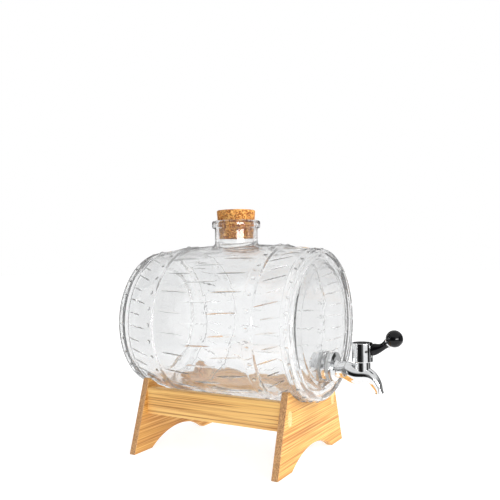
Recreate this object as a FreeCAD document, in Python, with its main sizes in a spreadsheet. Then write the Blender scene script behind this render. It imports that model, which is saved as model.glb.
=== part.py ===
import FreeCAD, Part
import math
import os

import Sketcher

# Glass barrel drink dispenser on a bamboo stand.
# Millimetres. X is to the right as seen from the tap, Y runs to the back, Z is up.
# The tap faces -Y. The pieces are drawn with the stand's middle at Y = 0. At the end they all
# move back by one shift, so that the origin is on the floor under the middle of the whole.

SIZES = {
    # Stand: two leg panels joined by two rails
    "stand_length": 154.0,
    "panel_thickness": 6.6,
    "foot_half_width": 67.8,
    "horn_half_width": 46.9,
    "horn_flat": 3.7193,
    "arch_half_width": 42.5,
    "arch_rise": 13.0,
    "edge_break": 0.5,
    "rail_outer_half": 49.0,
    "rail_thickness": 8.0,
    "rail_drop": 12.2,
    "rail_depth": 24.1,
    "tenon_thickness": 7.0,
    "tenon_depth": 13.0,
    "tenon_rise": 10.6,
    "mortise_gap": 0.1,
    "cradle_gap": 0.3,
    # Glass: belly, hoops, chimes and heads
    "barrel_clear": 46.1,
    "barrel_length": 185.0,
    "belly_radius": 72.7,
    "end_radius": 64.4,
    "glass_wall": 4.0,
    "head_wall": 6.0,
    "head_corner": 9.0,
    "inner_hoop_setback": 46.5,
    "outer_hoop_setback": 12.5,
    "hoop_width": 10.0,
    "hoop_raise": 1.2,
    "hoop_flank": 0.5,
    "chime_crest_radius": 60.2,
    "chime_round": 5.0,
    "chime_inner_radius": 54.5,
    "head_radius": 50.0,
    "head_recess": 1.5,
    # Glass: neck and lip
    "neck_radius": 20.3,
    "neck_rise": 22.5,
    "neck_root": 3.5,
    "lip_radius": 22.95,
    "lip_thickness": 7.0,
    "lip_edge": 1.6,
    # Cork
    "cork_top_radius": 18.5,
    "cork_bottom_radius": 16.2,
    "cork_length": 27.6,
    "cork_proud": 10.0,
    "cork_edge": 0.8,
    "cork_gap": 0.3,
    # Tap mounting through the front head
    "tap_drop": 36.2,
    "boss_radius": 13.3,
    "boss_proud": 2.0,
    "shank_radius": 7.9,
    "shank_gap": 0.4,
    "shank_length": 24.0,
    "shank_bore": 4.5,
    "flange_radius": 12.7,
    "flange_thickness": 2.6,
    "flange_dome": 1.0,
    "gasket_radius": 12.0,
    "outer_gasket_thickness": 2.6,
    "inner_gasket_thickness": 2.0,
    "nut_half_flats": 12.0,
    "nut_thickness": 6.0,
    "thread_gap": 0.1,
    # Valve chamber
    "valve_reach": 23.3,
    "neck_tube_radius": 6.7,
    "neck_tube_rise": 9.4,
    "chamber_bore": 5.0,
    "seat_drop": 7.1,
    "seat_bore": 2.8,
    "passage_bore": 3.3,
    "passage_drop": 2.4,
    # Valve pieces
    "stem_radius": 1.5,
    "stem_fit": 0.08,
    "plug_radius": 4.2,
    "plug_thickness": 2.6,
    "plug_nose": 1.4,
    "plug_gap": 0.1,
    "nose_gap": 0.3,
    "collar_radius": 4.2,
    "collar_thickness": 0.9,
    "stem_nut_radius": 2.4,
    "stem_nut_thickness": 1.6,
    "guide_fit": 0.1,
    "guide_length": 6.0,
    "guide_flange": 1.2,
    "ring_recess": 2.2,
    "ring_recess_radius": 3.0,
    "o_ring_tube": 0.68,
    "spring_radius": 3.7,
    "spring_wire": 0.5,
    "spring_turns": 4.0,
    "spring_seat_gap": 0.05,
    # Bonnet
    "bonnet_radius": 9.0,
    "bonnet_taper": 0.15,
    "bonnet_base": 6.1,
    "bonnet_height": 15.9,
    "bonnet_bore": 7.0,
    "bonnet_roof": 1.6,
    "bonnet_edge": 0.45,
    "slot_gap": 0.3,
    "slot_sill": 9.8,
    "slot_depth": 4.5,
    # Lever
    "pivot_reach": 5.86,
    "pivot_rise": 15.4,
    "pin_radius": 1.0,
    "pin_gap": 0.05,
    "pin_length": 13.0,
    "lever_width": 6.4,
    "lever_boss": 3.0,
    "fork_gap": 0.2,
    "fork_drop": 1.3,
    "fork_nub": 0.9,
    "fork_bar": 1.5,
    "fork_lift_gap": 0.3,
    "stud_radius": 1.6,
    "stud_length": 6.0,
    # Knob
    "knob_radius": 7.1,
    "knob_neck": 3.4,
    "knob_ring_radius": 3.6,
    "knob_ring_thickness": 0.9,
    "knob_hole_gap": 0.1,
}

# Sections of the tap's body, from the flange to the spout's tip.
# Each has its place in front of the valve axis, its place above the shank's axis,
# its radius and the angle in degrees by which the flow points below level.
SPOUT = {
    "root": (-24.3, -0.1, 7.3, 0.0),
    "throat": (-17.3, -2.1, 7.4, 14.0),
    "shoulder": (-10.5, -4.1, 7.9, 14.0),
    "belly": (-3.0, -5.8, 8.1, 8.0),
    "front": (5.0, -6.0, 6.7, 14.0),
    "bend": (10.0, -9.2, 5.1, 46.0),
    "fall": (13.0, -14.4, 4.1, 68.0),
    "tip": (14.5, -19.7, 3.7, 80.0),
}

# Sections of the passage from the valve seat to the spout's tip.
OUTLET = {
    "seat_end": (-1.0, -9.5, 2.5, -8.0),
    "front_end": (5.0, -8.1, 2.5, 14.0),
    "bend_end": (10.0, -9.4, 2.5, 46.0),
    "fall_end": (13.0, -14.4, 2.5, 68.0),
    "tip_end": (14.8, -21.2, 2.5, 80.0),
}

# Sections of the lever, from the pivot to the knob.
# Each has its place in front of the pivot, its place above it, half its height,
# half its width and the angle in degrees by which it points above level.
LEVER = {
    "heel": (0.4, 0.2, 2.9, 2.7, 0.0),
    "root": (3.7, 1.1, 4.9, 3.15, 4.0),
    "waist": (8.0, 2.5, 4.1, 3.1, 20.0),
    "end": (16.3, 7.2, 3.9, 3.4, 34.0),
}

# Places and sizes worked out from those above
WORKED = {
    "axis_height": "Sizes.barrel_clear + Sizes.belly_radius",
    "rail_bottom": "Sizes.barrel_clear - Sizes.rail_drop",
    "tenon_height": "rail_bottom + Sizes.tenon_rise",
    "half_length": "Sizes.barrel_length / 2",
    "sagitta": "Sizes.belly_radius - Sizes.end_radius",
    "stave_arc": "(half_length ^ 2 + sagitta ^ 2) / (2 * sagitta)",
    "stave_centre": "Sizes.belly_radius - stave_arc",
    "hoop_arc": "stave_arc + Sizes.hoop_raise",
    "bore_arc": "stave_arc - Sizes.glass_wall",
    "inner_hoop_start": "half_length - Sizes.inner_hoop_setback",
    "inner_hoop_end": "inner_hoop_start + Sizes.hoop_width",
    "outer_hoop_start": "half_length - Sizes.outer_hoop_setback",
    "outer_hoop_end": "outer_hoop_start + Sizes.hoop_width",
    "head_plane": "half_length - Sizes.head_recess",
    "bore_end": "head_plane - Sizes.head_wall",
    "panel_inner": "Sizes.stand_length / 2 - Sizes.panel_thickness",
    "cradle_radius": "stave_centre + sqrt(stave_arc ^ 2 - panel_inner ^ 2) + Sizes.cradle_gap",
    "horn_inner_half": "Sizes.horn_half_width - Sizes.horn_flat",
    "horn_drop": "sqrt(cradle_radius ^ 2 - horn_inner_half ^ 2)",
    "horn_height": "axis_height - horn_drop",
    "arch_arc": "(Sizes.arch_half_width ^ 2 + Sizes.arch_rise ^ 2) / (2 * Sizes.arch_rise)",
    "rail_centre": "Sizes.rail_outer_half - Sizes.rail_thickness / 2",
    "lip_top": "Sizes.belly_radius + Sizes.neck_rise",
    "cork_top": "axis_height + lip_top + Sizes.cork_proud",
    "cork_base": "cork_top - Sizes.cork_length",
    "cork_slope": "(Sizes.cork_top_radius - Sizes.cork_bottom_radius) / Sizes.cork_length",
    "socket_top": "Sizes.cork_top_radius - cork_slope * Sizes.cork_proud + Sizes.cork_gap",
    "socket_bottom": "Sizes.cork_bottom_radius + Sizes.cork_gap",
    "neck_bore_start": "Sizes.belly_radius - 4 * Sizes.glass_wall",
    "neck_seam_radius": "Sizes.neck_radius + 1.2 * Sizes.neck_root",
    "tap_height": "axis_height - Sizes.tap_drop",
    "boss_face": "half_length + Sizes.boss_proud",
    "flange_back": "boss_face + Sizes.outer_gasket_thickness",
    "flange_front": "flange_back + Sizes.flange_thickness",
    "shank_end": "flange_back - Sizes.shank_length",
    "nut_face": "bore_end - Sizes.inner_gasket_thickness",
    "valve_y": "-(flange_front + Sizes.flange_dome + Sizes.valve_reach)",
    "neck_tube_top": "tap_height + Sizes.neck_tube_rise",
    "seat_height": "tap_height - Sizes.seat_drop",
    "plug_base": "seat_height + Sizes.plug_gap",
    "plug_top": "plug_base + Sizes.plug_thickness",
    "collar_top": "plug_top + Sizes.collar_thickness",
    "guide_base": "neck_tube_top - Sizes.guide_length",
    "guide_bore": "Sizes.stem_radius + Sizes.stem_fit",
    "pivot_y": "valve_y - Sizes.pivot_reach",
    "pivot_z": "tap_height + Sizes.pivot_rise",
    "stem_nut_base": "pivot_z - Sizes.fork_drop + Sizes.fork_nub + Sizes.fork_lift_gap",
    "stem_top": "stem_nut_base + Sizes.stem_nut_thickness",
    "bonnet_bottom": "tap_height + Sizes.bonnet_base",
    "bonnet_top": "bonnet_bottom + Sizes.bonnet_height",
    "bonnet_ceiling": "bonnet_top - Sizes.bonnet_roof",
    "slot_half": "Sizes.lever_width / 2 + Sizes.slot_gap",
    "fork_half_gap": "Sizes.stem_radius + Sizes.fork_gap",
    "ball_centre": "sqrt(Sizes.knob_radius ^ 2 - Sizes.knob_neck ^ 2)",
    "knob_reach": "cos(Sizes.lever_end_angle) * (Sizes.knob_ring_thickness + ball_centre)",
    "front_end": "pivot_y - Sizes.lever_end_forward - knob_reach - Sizes.knob_radius",
    "shift": "-(front_end + half_length) / 2",
}

SECTION_WORDS = ("forward", "above", "radius", "angle")
LEVER_WORDS = ("forward", "above", "half_height", "half_width", "angle")

doc = FreeCAD.newDocument("barrel_dispenser")
sizes = doc.addObject("Spreadsheet::Sheet", "Sizes")
worked = doc.addObject("Spreadsheet::Sheet", "Worked")
trial = doc.addObject("Spreadsheet::Sheet", "Trial")


def fill_row(sheet, row, alias, content):
    """One named cell of a sheet, with its name beside it."""
    sheet.set("A%d" % row, alias)
    sheet.set("B%d" % row, content)
    sheet.setAlias("B%d" % row, alias)


def section_rows(prefix, table, words):
    """The named values of a table of sections."""
    rows = {}
    for section, values in table.items():
        for word, value in zip(words, values):
            rows["%s_%s_%s" % (prefix, section, word)] = value
    return rows


driving = dict(SIZES)
driving.update(section_rows("spout", SPOUT, SECTION_WORDS))
driving.update(section_rows("outlet", OUTLET, SECTION_WORDS))
driving.update(section_rows("lever", LEVER, LEVER_WORDS))
for row, (alias, value) in enumerate(driving.items(), start=1):
    fill_row(sizes, row, alias, "%r" % value)
for row, (alias, formula) in enumerate(WORKED.items(), start=1):
    fill_row(worked, row, alias, "=" + formula)
doc.recompute()


def number(expression):
    """What an expression over the two sheets comes to."""
    trial.set("A1", "=" + expression)
    trial.recompute()
    return float(trial.get("A1"))


def bind(thing, path, expression):
    """Tie one property of an object to the sheets."""
    thing.setExpression(path, expression)


def new_body(label):
    """A body for one piece, named for it."""
    body = doc.addObject("PartDesign::Body", label)
    body.Label = label
    return body


def place_body(body, x="0", y="0", z="0"):
    """Put a body's own origin somewhere in the dispenser."""
    bind(body, "Placement.Base.x", x)
    bind(body, "Placement.Base.y", y)
    bind(body, "Placement.Base.z", z)


def new_sketch(body, name, role, offset=None):
    """A sketch on one of the body's origin planes, moved along its normal by an expression."""
    sketch = body.newObject("Sketcher::SketchObject", name)
    planes = [feature for feature in body.Origin.OriginFeatures if feature.Role == role]
    sketch.AttachmentSupport = [(planes[0], "")]
    sketch.MapMode = "FlatFace"
    if offset:
        bind(sketch, "AttachmentOffset.Base.z", offset)
    return sketch


def pin_point(sketch, edge, end, place):
    """Hold one end of a sketch edge at a place given by two expressions."""
    for kind, axis, expression in (("DistanceX", -2, place[0]), ("DistanceY", -1, place[1])):
        if expression == "0":
            sketch.addConstraint(Sketcher.Constraint("PointOnObject", edge, end, axis))
            continue
        value = number(expression)
        index = sketch.addConstraint(Sketcher.Constraint(kind, -1, 1, edge, end, value))
        bind(sketch, "Constraints[%d]" % index, expression)


def arc_between(start, end, radius, side):
    """The short arc from start to end whose centre is on the left (1) or right (-1)."""
    chord = end - start
    half = chord.Length / 2
    across = FreeCAD.Vector(-chord.y, chord.x, 0).normalize()
    centre = (start + end) / 2 + across * side * math.sqrt(radius ** 2 - half ** 2)
    outward = ((start + end) / 2 - centre).normalize()
    return Part.Arc(start, centre + outward * radius, end)


def draw_outline(sketch, places, arcs=None):
    """A closed outline through places. arcs gives some edges a radius and a side."""
    arcs = arcs or {}
    points = [FreeCAD.Vector(number(x), number(y), 0) for x, y in places]
    count = len(points)
    edges = []
    starts = []
    for i in range(count):
        start, end = points[i], points[(i + 1) % count]
        if i in arcs:
            radius, side = arcs[i]
            curve = arc_between(start, end, number(radius), side)
        else:
            curve = Part.LineSegment(start, end)
        edges.append(sketch.addGeometry(curve, False))
        # An arc is stored anticlockwise, so one that runs clockwise has its ends swapped.
        starts.append(2 if i in arcs and arcs[i][1] < 0 else 1)
    for i in range(count):
        following = (i + 1) % count
        end = 3 - starts[i]
        sketch.addConstraint(
            Sketcher.Constraint("Coincident", edges[i], end, edges[following], starts[following])
        )
    for i in range(count):
        pin_point(sketch, edges[i], starts[i], places[i])
    for i, (radius, side) in arcs.items():
        index = sketch.addConstraint(Sketcher.Constraint("Radius", edges[i], number(radius)))
        bind(sketch, "Constraints[%d]" % index, radius)


def draw_circle(sketch, place, radius):
    """A circle with its centre at a place."""
    centre = FreeCAD.Vector(number(place[0]), number(place[1]), 0)
    edge = sketch.addGeometry(Part.Circle(centre, FreeCAD.Vector(0, 0, 1), number(radius)), False)
    pin_point(sketch, edge, 3, place)
    index = sketch.addConstraint(Sketcher.Constraint("Radius", edge, number(radius)))
    bind(sketch, "Constraints[%d]" % index, radius)


def draw_box(sketch, low, high):
    """A rectangle between two corners."""
    draw_outline(sketch, [low, (high[0], low[1]), high, (low[0], high[1])])


def feature(body, kind, name, sketch, **properties):
    """A sketched feature of a body."""
    made = body.newObject("PartDesign::" + kind, name)
    made.Profile = sketch
    for key, value in properties.items():
        setattr(made, key, value)
    sketch.Visibility = False
    return made


def pad(body, name, sketch, length, **properties):
    made = feature(body, "Pad", name, sketch, **properties)
    bind(made, "Length", length)
    return made


def cut(body, name, sketch, length, **properties):
    """A pocket that has to take something away."""
    doc.recompute()
    before = body.Shape.Volume
    made = feature(body, "Pocket", name, sketch, **properties)
    bind(made, "Length", length)
    doc.recompute()
    if body.Shape.Volume >= before:
        raise RuntimeError("%s cuts nothing" % name)
    return made


def revolve(body, name, sketch, axis, kind="Revolution"):
    made = feature(body, kind, name, sketch, Angle=360.0)
    made.ReferenceAxis = (sketch, [axis])
    return made


def edges_where(shape, test):
    """The names of the edges of a shape that pass a test."""
    return ["Edge%d" % i for i, edge in enumerate(shape.Edges, start=1) if test(edge)]


def ease_edges(body, name, kind, size, test):
    """A fillet or chamfer on the edges of the body that pass a test."""
    doc.recompute()
    tip = body.Tip
    names = edges_where(tip.Shape, test)
    if not names:
        raise RuntimeError("%s finds no edge" % name)
    made = body.newObject("PartDesign::" + kind, name)
    made.Base = (tip, names)
    bind(made, "Radius" if kind == "Fillet" else "Size", size)
    tip.Visibility = False
    return made


def is_circle_at(edge, direction, place, radius):
    """True for a circular edge of about this radius, in this place along an axis."""
    if not hasattr(edge.Curve, "Radius") or not edge.Closed:
        return False
    along = edge.Curve.Center.dot(direction)
    return abs(along - place) < 0.01 and abs(edge.Curve.Radius - radius) < 0.01


ALONG_X = FreeCAD.Vector(1, 0, 0)
ALONG_Y = FreeCAD.Vector(0, 1, 0)
ALONG_Z = FreeCAD.Vector(0, 0, 1)


# Stand

def leg_panel(label, outer_face, outward):
    """A leg panel: sloping sides, a cradle for the barrel, a foot arch and two mortises."""
    body = new_body(label)
    place_body(body, y=outer_face)
    outline = new_sketch(body, label + "_outline", "XZ_Plane")
    foot, horn = "Sizes.foot_half_width", "Sizes.horn_half_width"
    inner, arch = "Worked.horn_inner_half", "Sizes.arch_half_width"
    top = "Worked.horn_height"
    draw_outline(
        outline,
        [
            (arch, "0"),
            (foot, "0"),
            (horn, top),
            (inner, top),
            ("-" + inner, top),
            ("-" + horn, top),
            ("-" + foot, "0"),
            ("-" + arch, "0"),
        ],
        {3: ("Worked.cradle_radius", -1), 7: ("Worked.arch_arc", -1)},
    )
    board = pad(body, label + "_board", outline, "Sizes.panel_thickness", Reversed=outward > 0)
    doc.recompute()
    thickness = number("Sizes.panel_thickness")

    def on_a_face(edge):
        return all(min(abs(v.Y), abs(abs(v.Y) - thickness)) < 1e-4 for v in edge.Vertexes) and (
            abs(edge.BoundBox.YLength) < 1e-4
        )

    ease_edges(body, label + "_edges", "Chamfer", "Sizes.edge_break", on_a_face)
    for side, sign in (("right", ""), ("left", "-")):
        mortise = new_sketch(body, "%s_%s_mortise_outline" % (label, side), "XZ_Plane")
        centre = sign + "Worked.rail_centre"
        draw_slot(
            mortise, centre, "Worked.tenon_height",
            "(Sizes.tenon_thickness / 2 + Sizes.mortise_gap)",
            "(Sizes.tenon_depth / 2 + Sizes.mortise_gap)",
        )
        cut(body, "%s_%s_mortise" % (label, side), mortise, "3 * Sizes.panel_thickness", Midplane=True)
    return body


def draw_slot(sketch, x, y, half_width, half_height):
    """An upright slot with round ends."""
    straight = "(%s - %s)" % (half_height, half_width)
    left, right = "%s - %s" % (x, half_width), "%s + %s" % (x, half_width)
    low, high = "%s - %s" % (y, straight), "%s + %s" % (y, straight)
    bottom, top = "%s - %s" % (y, half_height), "%s + %s" % (y, half_height)
    draw_outline(
        sketch,
        [(left, low), (x, bottom), (right, low), (right, high), (x, top), (left, high)],
        {0: (half_width, 1), 1: (half_width, 1), 3: (half_width, 1), 4: (half_width, 1)},
    )


def side_rail(label, sign):
    """A rail between the panels, with a through tenon at each end."""
    body = new_body(label)
    place_body(body, x=sign + "Worked.rail_centre")
    side = new_sketch(body, label + "_side", "YZ_Plane")
    draw_box(
        side,
        ("-Worked.panel_inner", "Worked.rail_bottom"),
        ("Worked.panel_inner", "Worked.rail_bottom + Sizes.rail_depth"),
    )
    pad(body, label + "_board", side, "Sizes.rail_thickness", Midplane=True)

    def runs_along(edge):
        return edge.BoundBox.YLength > number("Worked.panel_inner")

    ease_edges(body, label + "_edges", "Chamfer", "Sizes.edge_break", runs_along)
    tenon = new_sketch(body, label + "_tenon_outline", "XZ_Plane")
    draw_slot(tenon, "0", "Worked.tenon_height", "(Sizes.tenon_thickness / 2)", "(Sizes.tenon_depth / 2)")
    pad(body, label + "_tenons", tenon, "Sizes.stand_length", Midplane=True)
    return body


# Glass barrel, drawn in its own frame with the barrel's axis along Y through the origin

def barrel_side():
    """The outer half profile from the front head's centre to the back one's, as places and arcs."""
    arcs = {}
    half = [("Worked.head_plane", "0"), ("Worked.head_plane", "Sizes.head_radius")]
    half.append(("Worked.half_length", "Sizes.chime_inner_radius"))
    half.append(("Worked.half_length", "Sizes.chime_crest_radius"))
    for start, end in (
        ("Worked.outer_hoop_start", "Worked.outer_hoop_end"),
        ("Worked.inner_hoop_start", "Worked.inner_hoop_end"),
    ):
        outer_foot = end + " + Sizes.hoop_flank"
        inner_foot = start + " - Sizes.hoop_flank"
        half.append((outer_foot, stave_height(outer_foot)))
        half.append((end, hoop_height(end)))
        half.append((start, hoop_height(start)))
        half.append((inner_foot, stave_height(inner_foot)))
    places = [("-(%s)" % y, r) for y, r in half] + [(y, r) for y, r in reversed(half)]
    last = len(half) - 1
    mirrored = 2 * last
    for i, arc in (
        (3, "Sizes.chime_round"),
        (5, "Worked.hoop_arc"),
        (7, "Worked.stave_arc"),
        (9, "Worked.hoop_arc"),
    ):
        arcs[i] = (arc, -1)
        arcs[mirrored - i] = (arc, -1)
    arcs[last] = ("Worked.stave_arc", -1)
    return places, arcs


def stave_height(y):
    """The stave surface's radius at a distance from the middle."""
    return "Worked.stave_centre + sqrt(Worked.stave_arc ^ 2 - (%s) ^ 2)" % y


def hoop_height(y):
    """The hoop surface's radius at a distance from the middle."""
    return "Worked.stave_centre + sqrt(Worked.hoop_arc ^ 2 - (%s) ^ 2)" % y


def bore_height(y):
    """The inner surface's radius at a distance from the middle."""
    return "Worked.stave_centre + sqrt(Worked.bore_arc ^ 2 - (%s) ^ 2)" % y


def glass_vessel():
    """The pressed glass vessel: belly, hoops, chimes, boss, neck and lip, bored out."""
    body = new_body("glass_vessel")
    place_body(body, z="Worked.axis_height")
    side = new_sketch(body, "barrel_side", "YZ_Plane")
    places, arcs = barrel_side()
    draw_outline(side, places, arcs)
    revolve(body, "barrel_form", side, "H_Axis")

    neck = new_sketch(body, "neck_side", "YZ_Plane")
    root = "Sizes.belly_radius - 2 * Sizes.glass_wall"
    under = "Worked.lip_top - Sizes.lip_thickness"
    draw_outline(
        neck,
        [
            ("0", root),
            ("Sizes.neck_radius", root),
            ("Sizes.neck_radius", under),
            ("Sizes.lip_radius", under),
            ("Sizes.lip_radius", "Worked.lip_top"),
            ("0", "Worked.lip_top"),
        ],
    )
    revolve(body, "neck_form", neck, "V_Axis")

    lip_top, lip_radius = number("Worked.lip_top"), number("Sizes.lip_radius")
    lip_under = lip_top - number("Sizes.lip_thickness")

    def rim(edge):
        return any(is_circle_at(edge, ALONG_Z, height, lip_radius) for height in (lip_top, lip_under))

    ease_edges(body, "lip_edges", "Fillet", "Sizes.lip_edge", rim)

    neck_radius = number("Sizes.neck_radius")

    def neck_foot(edge):
        middle = edge.valueAt((edge.FirstParameter + edge.LastParameter) / 2)
        points = [vertex.Point for vertex in edge.Vertexes] + [middle]
        on_neck = all(abs(math.hypot(point.x, point.y) - neck_radius) < 0.01 for point in points)
        return on_neck and 0 < middle.z < number("Sizes.belly_radius") + 0.5

    ease_edges(body, "neck_foot", "Fillet", "Sizes.neck_root", neck_foot)

    boss = new_sketch(body, "boss_outline", "XZ_Plane", offset="Worked.bore_end")
    draw_circle(boss, ("0", "-Sizes.tap_drop"), "Sizes.boss_radius")
    pad(body, "tap_boss", boss, "Worked.boss_face - Worked.bore_end")

    bore = new_sketch(body, "bore_side", "YZ_Plane")
    corner = "Worked.bore_end - Sizes.head_corner"
    rise = "(%s) - Sizes.head_corner" % bore_height(corner)
    draw_outline(
        bore,
        [
            ("-Worked.bore_end", "0"),
            ("-Worked.bore_end", rise),
            ("-(%s)" % corner, bore_height(corner)),
            (corner, bore_height(corner)),
            ("Worked.bore_end", rise),
            ("Worked.bore_end", "0"),
        ],
        {1: ("Sizes.head_corner", -1), 2: ("Worked.bore_arc", -1), 3: ("Sizes.head_corner", -1)},
    )
    revolve(body, "barrel_bore", bore, "H_Axis", "Groove")

    socket = new_sketch(body, "neck_bore_side", "YZ_Plane")
    cork_base = "Worked.cork_base - Worked.axis_height"
    draw_outline(
        socket,
        [
            ("0", "Worked.neck_bore_start"),
            ("Worked.socket_bottom", "Worked.neck_bore_start"),
            ("Worked.socket_bottom", cork_base),
            ("Worked.socket_top", "Worked.lip_top"),
            ("0", "Worked.lip_top"),
        ],
    )
    revolve(body, "neck_bore", socket, "V_Axis", "Groove")

    hole = new_sketch(body, "tap_hole_outline", "XZ_Plane")
    draw_circle(hole, ("0", "-Sizes.tap_drop"), "Sizes.shank_radius + Sizes.shank_gap")
    cut(body, "tap_hole", hole, "Sizes.barrel_length", Reversed=True)
    return body


def glass_pieces():
    """The vessel as simpler solids that meet face to face: a front half, a rear half and the neck."""
    vessel = glass_vessel()
    seam = rod(
        "neck_seam", "Worked.neck_seam_radius", "Worked.lip_top",
        ("0", "0", "Worked.axis_height + Worked.neck_bore_start"), ALONG_Z,
    )
    front_room = rod(
        "front_half_room", "2 * Sizes.belly_radius", "Sizes.barrel_length",
        ("0", "0", "Worked.axis_height"), -ALONG_Y,
    )
    wall = cut_from("glass_wall", vessel, seam)
    front = common_of("glass_barrel", wall, front_room)
    rear = cut_from("glass_rear", wall, front_room)
    neck = common_of("glass_neck", vessel, seam)
    return [front, rear, neck]


# Cork

def cork_stopper():
    body = new_body("cork_stopper")
    side = new_sketch(body, "cork_side", "YZ_Plane")
    draw_outline(
        side,
        [
            ("0", "Worked.cork_base"),
            ("Sizes.cork_bottom_radius", "Worked.cork_base"),
            ("Sizes.cork_top_radius", "Worked.cork_top"),
            ("0", "Worked.cork_top"),
        ],
    )
    revolve(body, "cork_form", side, "V_Axis")
    ease_edges(body, "cork_edges", "Chamfer", "Sizes.cork_edge", lambda edge: edge.Closed)
    return body


# Tap body: lofted outside, flange and shank, then its passages

def ring_section(prefix, section):
    """A circle across the flow, at its place on the tap's middle plane."""
    stem = "Sizes.%s_%s_" % (prefix, section)
    circle = doc.addObject("Part::Circle", "%s_%s" % (prefix, section))
    angle = 90 + number(stem + "angle")
    circle.Placement = FreeCAD.Placement(FreeCAD.Vector(), FreeCAD.Rotation(ALONG_X, angle))
    bind(circle, "Radius", stem + "radius")
    bind(circle, "Placement.Base.y", "Worked.valve_y - %sforward" % stem)
    bind(circle, "Placement.Base.z", "Worked.tap_height + %sabove" % stem)
    circle.Visibility = False
    return circle


def loft(name, sections):
    made = doc.addObject("Part::Loft", name)
    made.Sections = sections
    made.Solid = True
    made.Ruled = False
    return made


def rod(name, radius, height, place, axis, cone_radius=None):
    """A cylinder, or a cone, that starts at a place and runs along an axis."""
    made = doc.addObject("Part::Cone" if cone_radius else "Part::Cylinder", name)
    made.Placement = FreeCAD.Placement(FreeCAD.Vector(), FreeCAD.Rotation(ALONG_Z, axis))
    if cone_radius:
        bind(made, "Radius1", radius)
        bind(made, "Radius2", cone_radius)
    else:
        bind(made, "Radius", radius)
    bind(made, "Height", height)
    for word, expression in zip("xyz", place):
        bind(made, "Placement.Base." + word, expression)
    return made


def joined(name, pieces):
    made = doc.addObject("Part::MultiFuse", name)
    made.Shapes = pieces
    made.Refine = True
    return made


def cut_from(label, base, tool):
    made = doc.addObject("Part::Cut", label)
    made.Base = base
    made.Tool = tool
    made.Refine = True
    made.Label = label
    return made


def common_of(label, first, second):
    made = doc.addObject("Part::Common", label)
    made.Base = first
    made.Tool = second
    made.Refine = True
    made.Label = label
    return made


def tap_body():
    """The chromed body: flange, shank, rounded chamber and curved spout."""
    elbow = loft("tap_elbow", [ring_section("spout", section) for section in SPOUT])
    forward, up = -ALONG_Y, ALONG_Z
    height = "Worked.tap_height"
    flange = rod(
        "tap_flange", "Sizes.flange_radius", "Sizes.flange_thickness",
        ("0", "-Worked.flange_back", height), forward,
    )
    dome = rod(
        "tap_flange_dome", "Sizes.flange_radius", "Sizes.flange_dome",
        ("0", "-Worked.flange_front", height), forward,
        cone_radius="Sizes.spout_root_radius + 2 * Sizes.flange_dome",
    )
    shank = rod(
        "tap_shank", "Sizes.shank_radius", "Sizes.shank_length + Sizes.flange_thickness",
        ("0", "-Worked.shank_end", height), forward,
    )
    tube = rod(
        "tap_neck_tube", "Sizes.neck_tube_radius", "Sizes.neck_tube_rise - Sizes.spout_belly_above",
        ("0", "Worked.valve_y", "Worked.tap_height + Sizes.spout_belly_above"), up,
    )
    solid = joined("tap_outside", [elbow, flange, dome, shank, tube])

    shank_bore = rod(
        "tap_shank_bore", "Sizes.shank_bore", "Worked.flange_front - Worked.shank_end",
        ("0", "-Worked.shank_end", height), forward,
    )
    run = "Worked.flange_front + Worked.valve_y"
    passage = rod(
        "tap_passage", "Sizes.passage_bore", "-(%s)" % run,
        ("0", "-Worked.flange_front + Sizes.passage_bore / 2", height + " - Sizes.passage_drop / 2"),
        FreeCAD.Vector(0, number(run), -number("Sizes.passage_drop / 2")),
    )
    chamber = rod(
        "tap_chamber", "Sizes.chamber_bore", "Worked.neck_tube_top - Worked.seat_height",
        ("0", "Worked.valve_y", "Worked.seat_height"), up,
    )
    seat_end = "Worked.tap_height + Sizes.outlet_seat_end_above"
    seat = rod(
        "tap_seat_bore", "Sizes.seat_bore", "Worked.seat_height - (%s)" % seat_end,
        ("0", "Worked.valve_y", seat_end), up,
    )
    outlet = loft("tap_outlet", [ring_section("outlet", section) for section in OUTLET])
    hollow = joined("tap_passages", [shank_bore, passage, chamber, seat, outlet])
    return cut_from("tap_body", solid, hollow)


def washer(label, radius, hole, start, thickness):
    """A flat ring round the shank."""
    place = ("0", start, "Worked.tap_height")
    disc = rod(label + "_disc", radius, thickness, place, ALONG_Y)
    inside = rod(label + "_hole", hole, thickness, place, ALONG_Y)
    return cut_from(label, disc, inside)


def shank_nut():
    """The hexagon nut that draws the flange to the glass."""
    prism = doc.addObject("Part::Prism", "nut_hexagon")
    prism.Polygon = 6
    prism.Placement = FreeCAD.Placement(FreeCAD.Vector(), FreeCAD.Rotation(ALONG_Z, ALONG_Y))
    bind(prism, "Circumradius", "Sizes.nut_half_flats / cos(30)")
    bind(prism, "Height", "Sizes.nut_thickness")
    bind(prism, "Placement.Base.y", "-Worked.nut_face")
    bind(prism, "Placement.Base.z", "Worked.tap_height")
    hole = rod(
        "nut_hole", "Sizes.shank_radius + Sizes.thread_gap", "Sizes.nut_thickness",
        ("0", "-Worked.nut_face", "Worked.tap_height"), ALONG_Y,
    )
    return cut_from("shank_nut", prism, hole)


# Valve pieces, turned about the valve axis

def turned(label, places, arcs=None):
    """A piece turned about the valve's upright axis."""
    body = new_body(label)
    place_body(body, y="Worked.valve_y")
    side = new_sketch(body, label + "_side", "YZ_Plane")
    draw_outline(side, places, arcs)
    revolve(body, label + "_form", side, "V_Axis")
    return body


def valve_stem():
    """The stem, with the collar that the spring pushes on."""
    stem, collar = "Sizes.stem_radius", "Sizes.collar_radius"
    return turned(
        "valve_stem",
        [
            ("0", "Worked.plug_base + Sizes.plug_thickness / 2"),
            (stem, "Worked.plug_base + Sizes.plug_thickness / 2"),
            (stem, "Worked.plug_top"),
            (collar, "Worked.plug_top"),
            (collar, "Worked.collar_top"),
            (stem, "Worked.collar_top"),
            (stem, "Worked.stem_top"),
            ("0", "Worked.stem_top"),
        ],
    )


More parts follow.
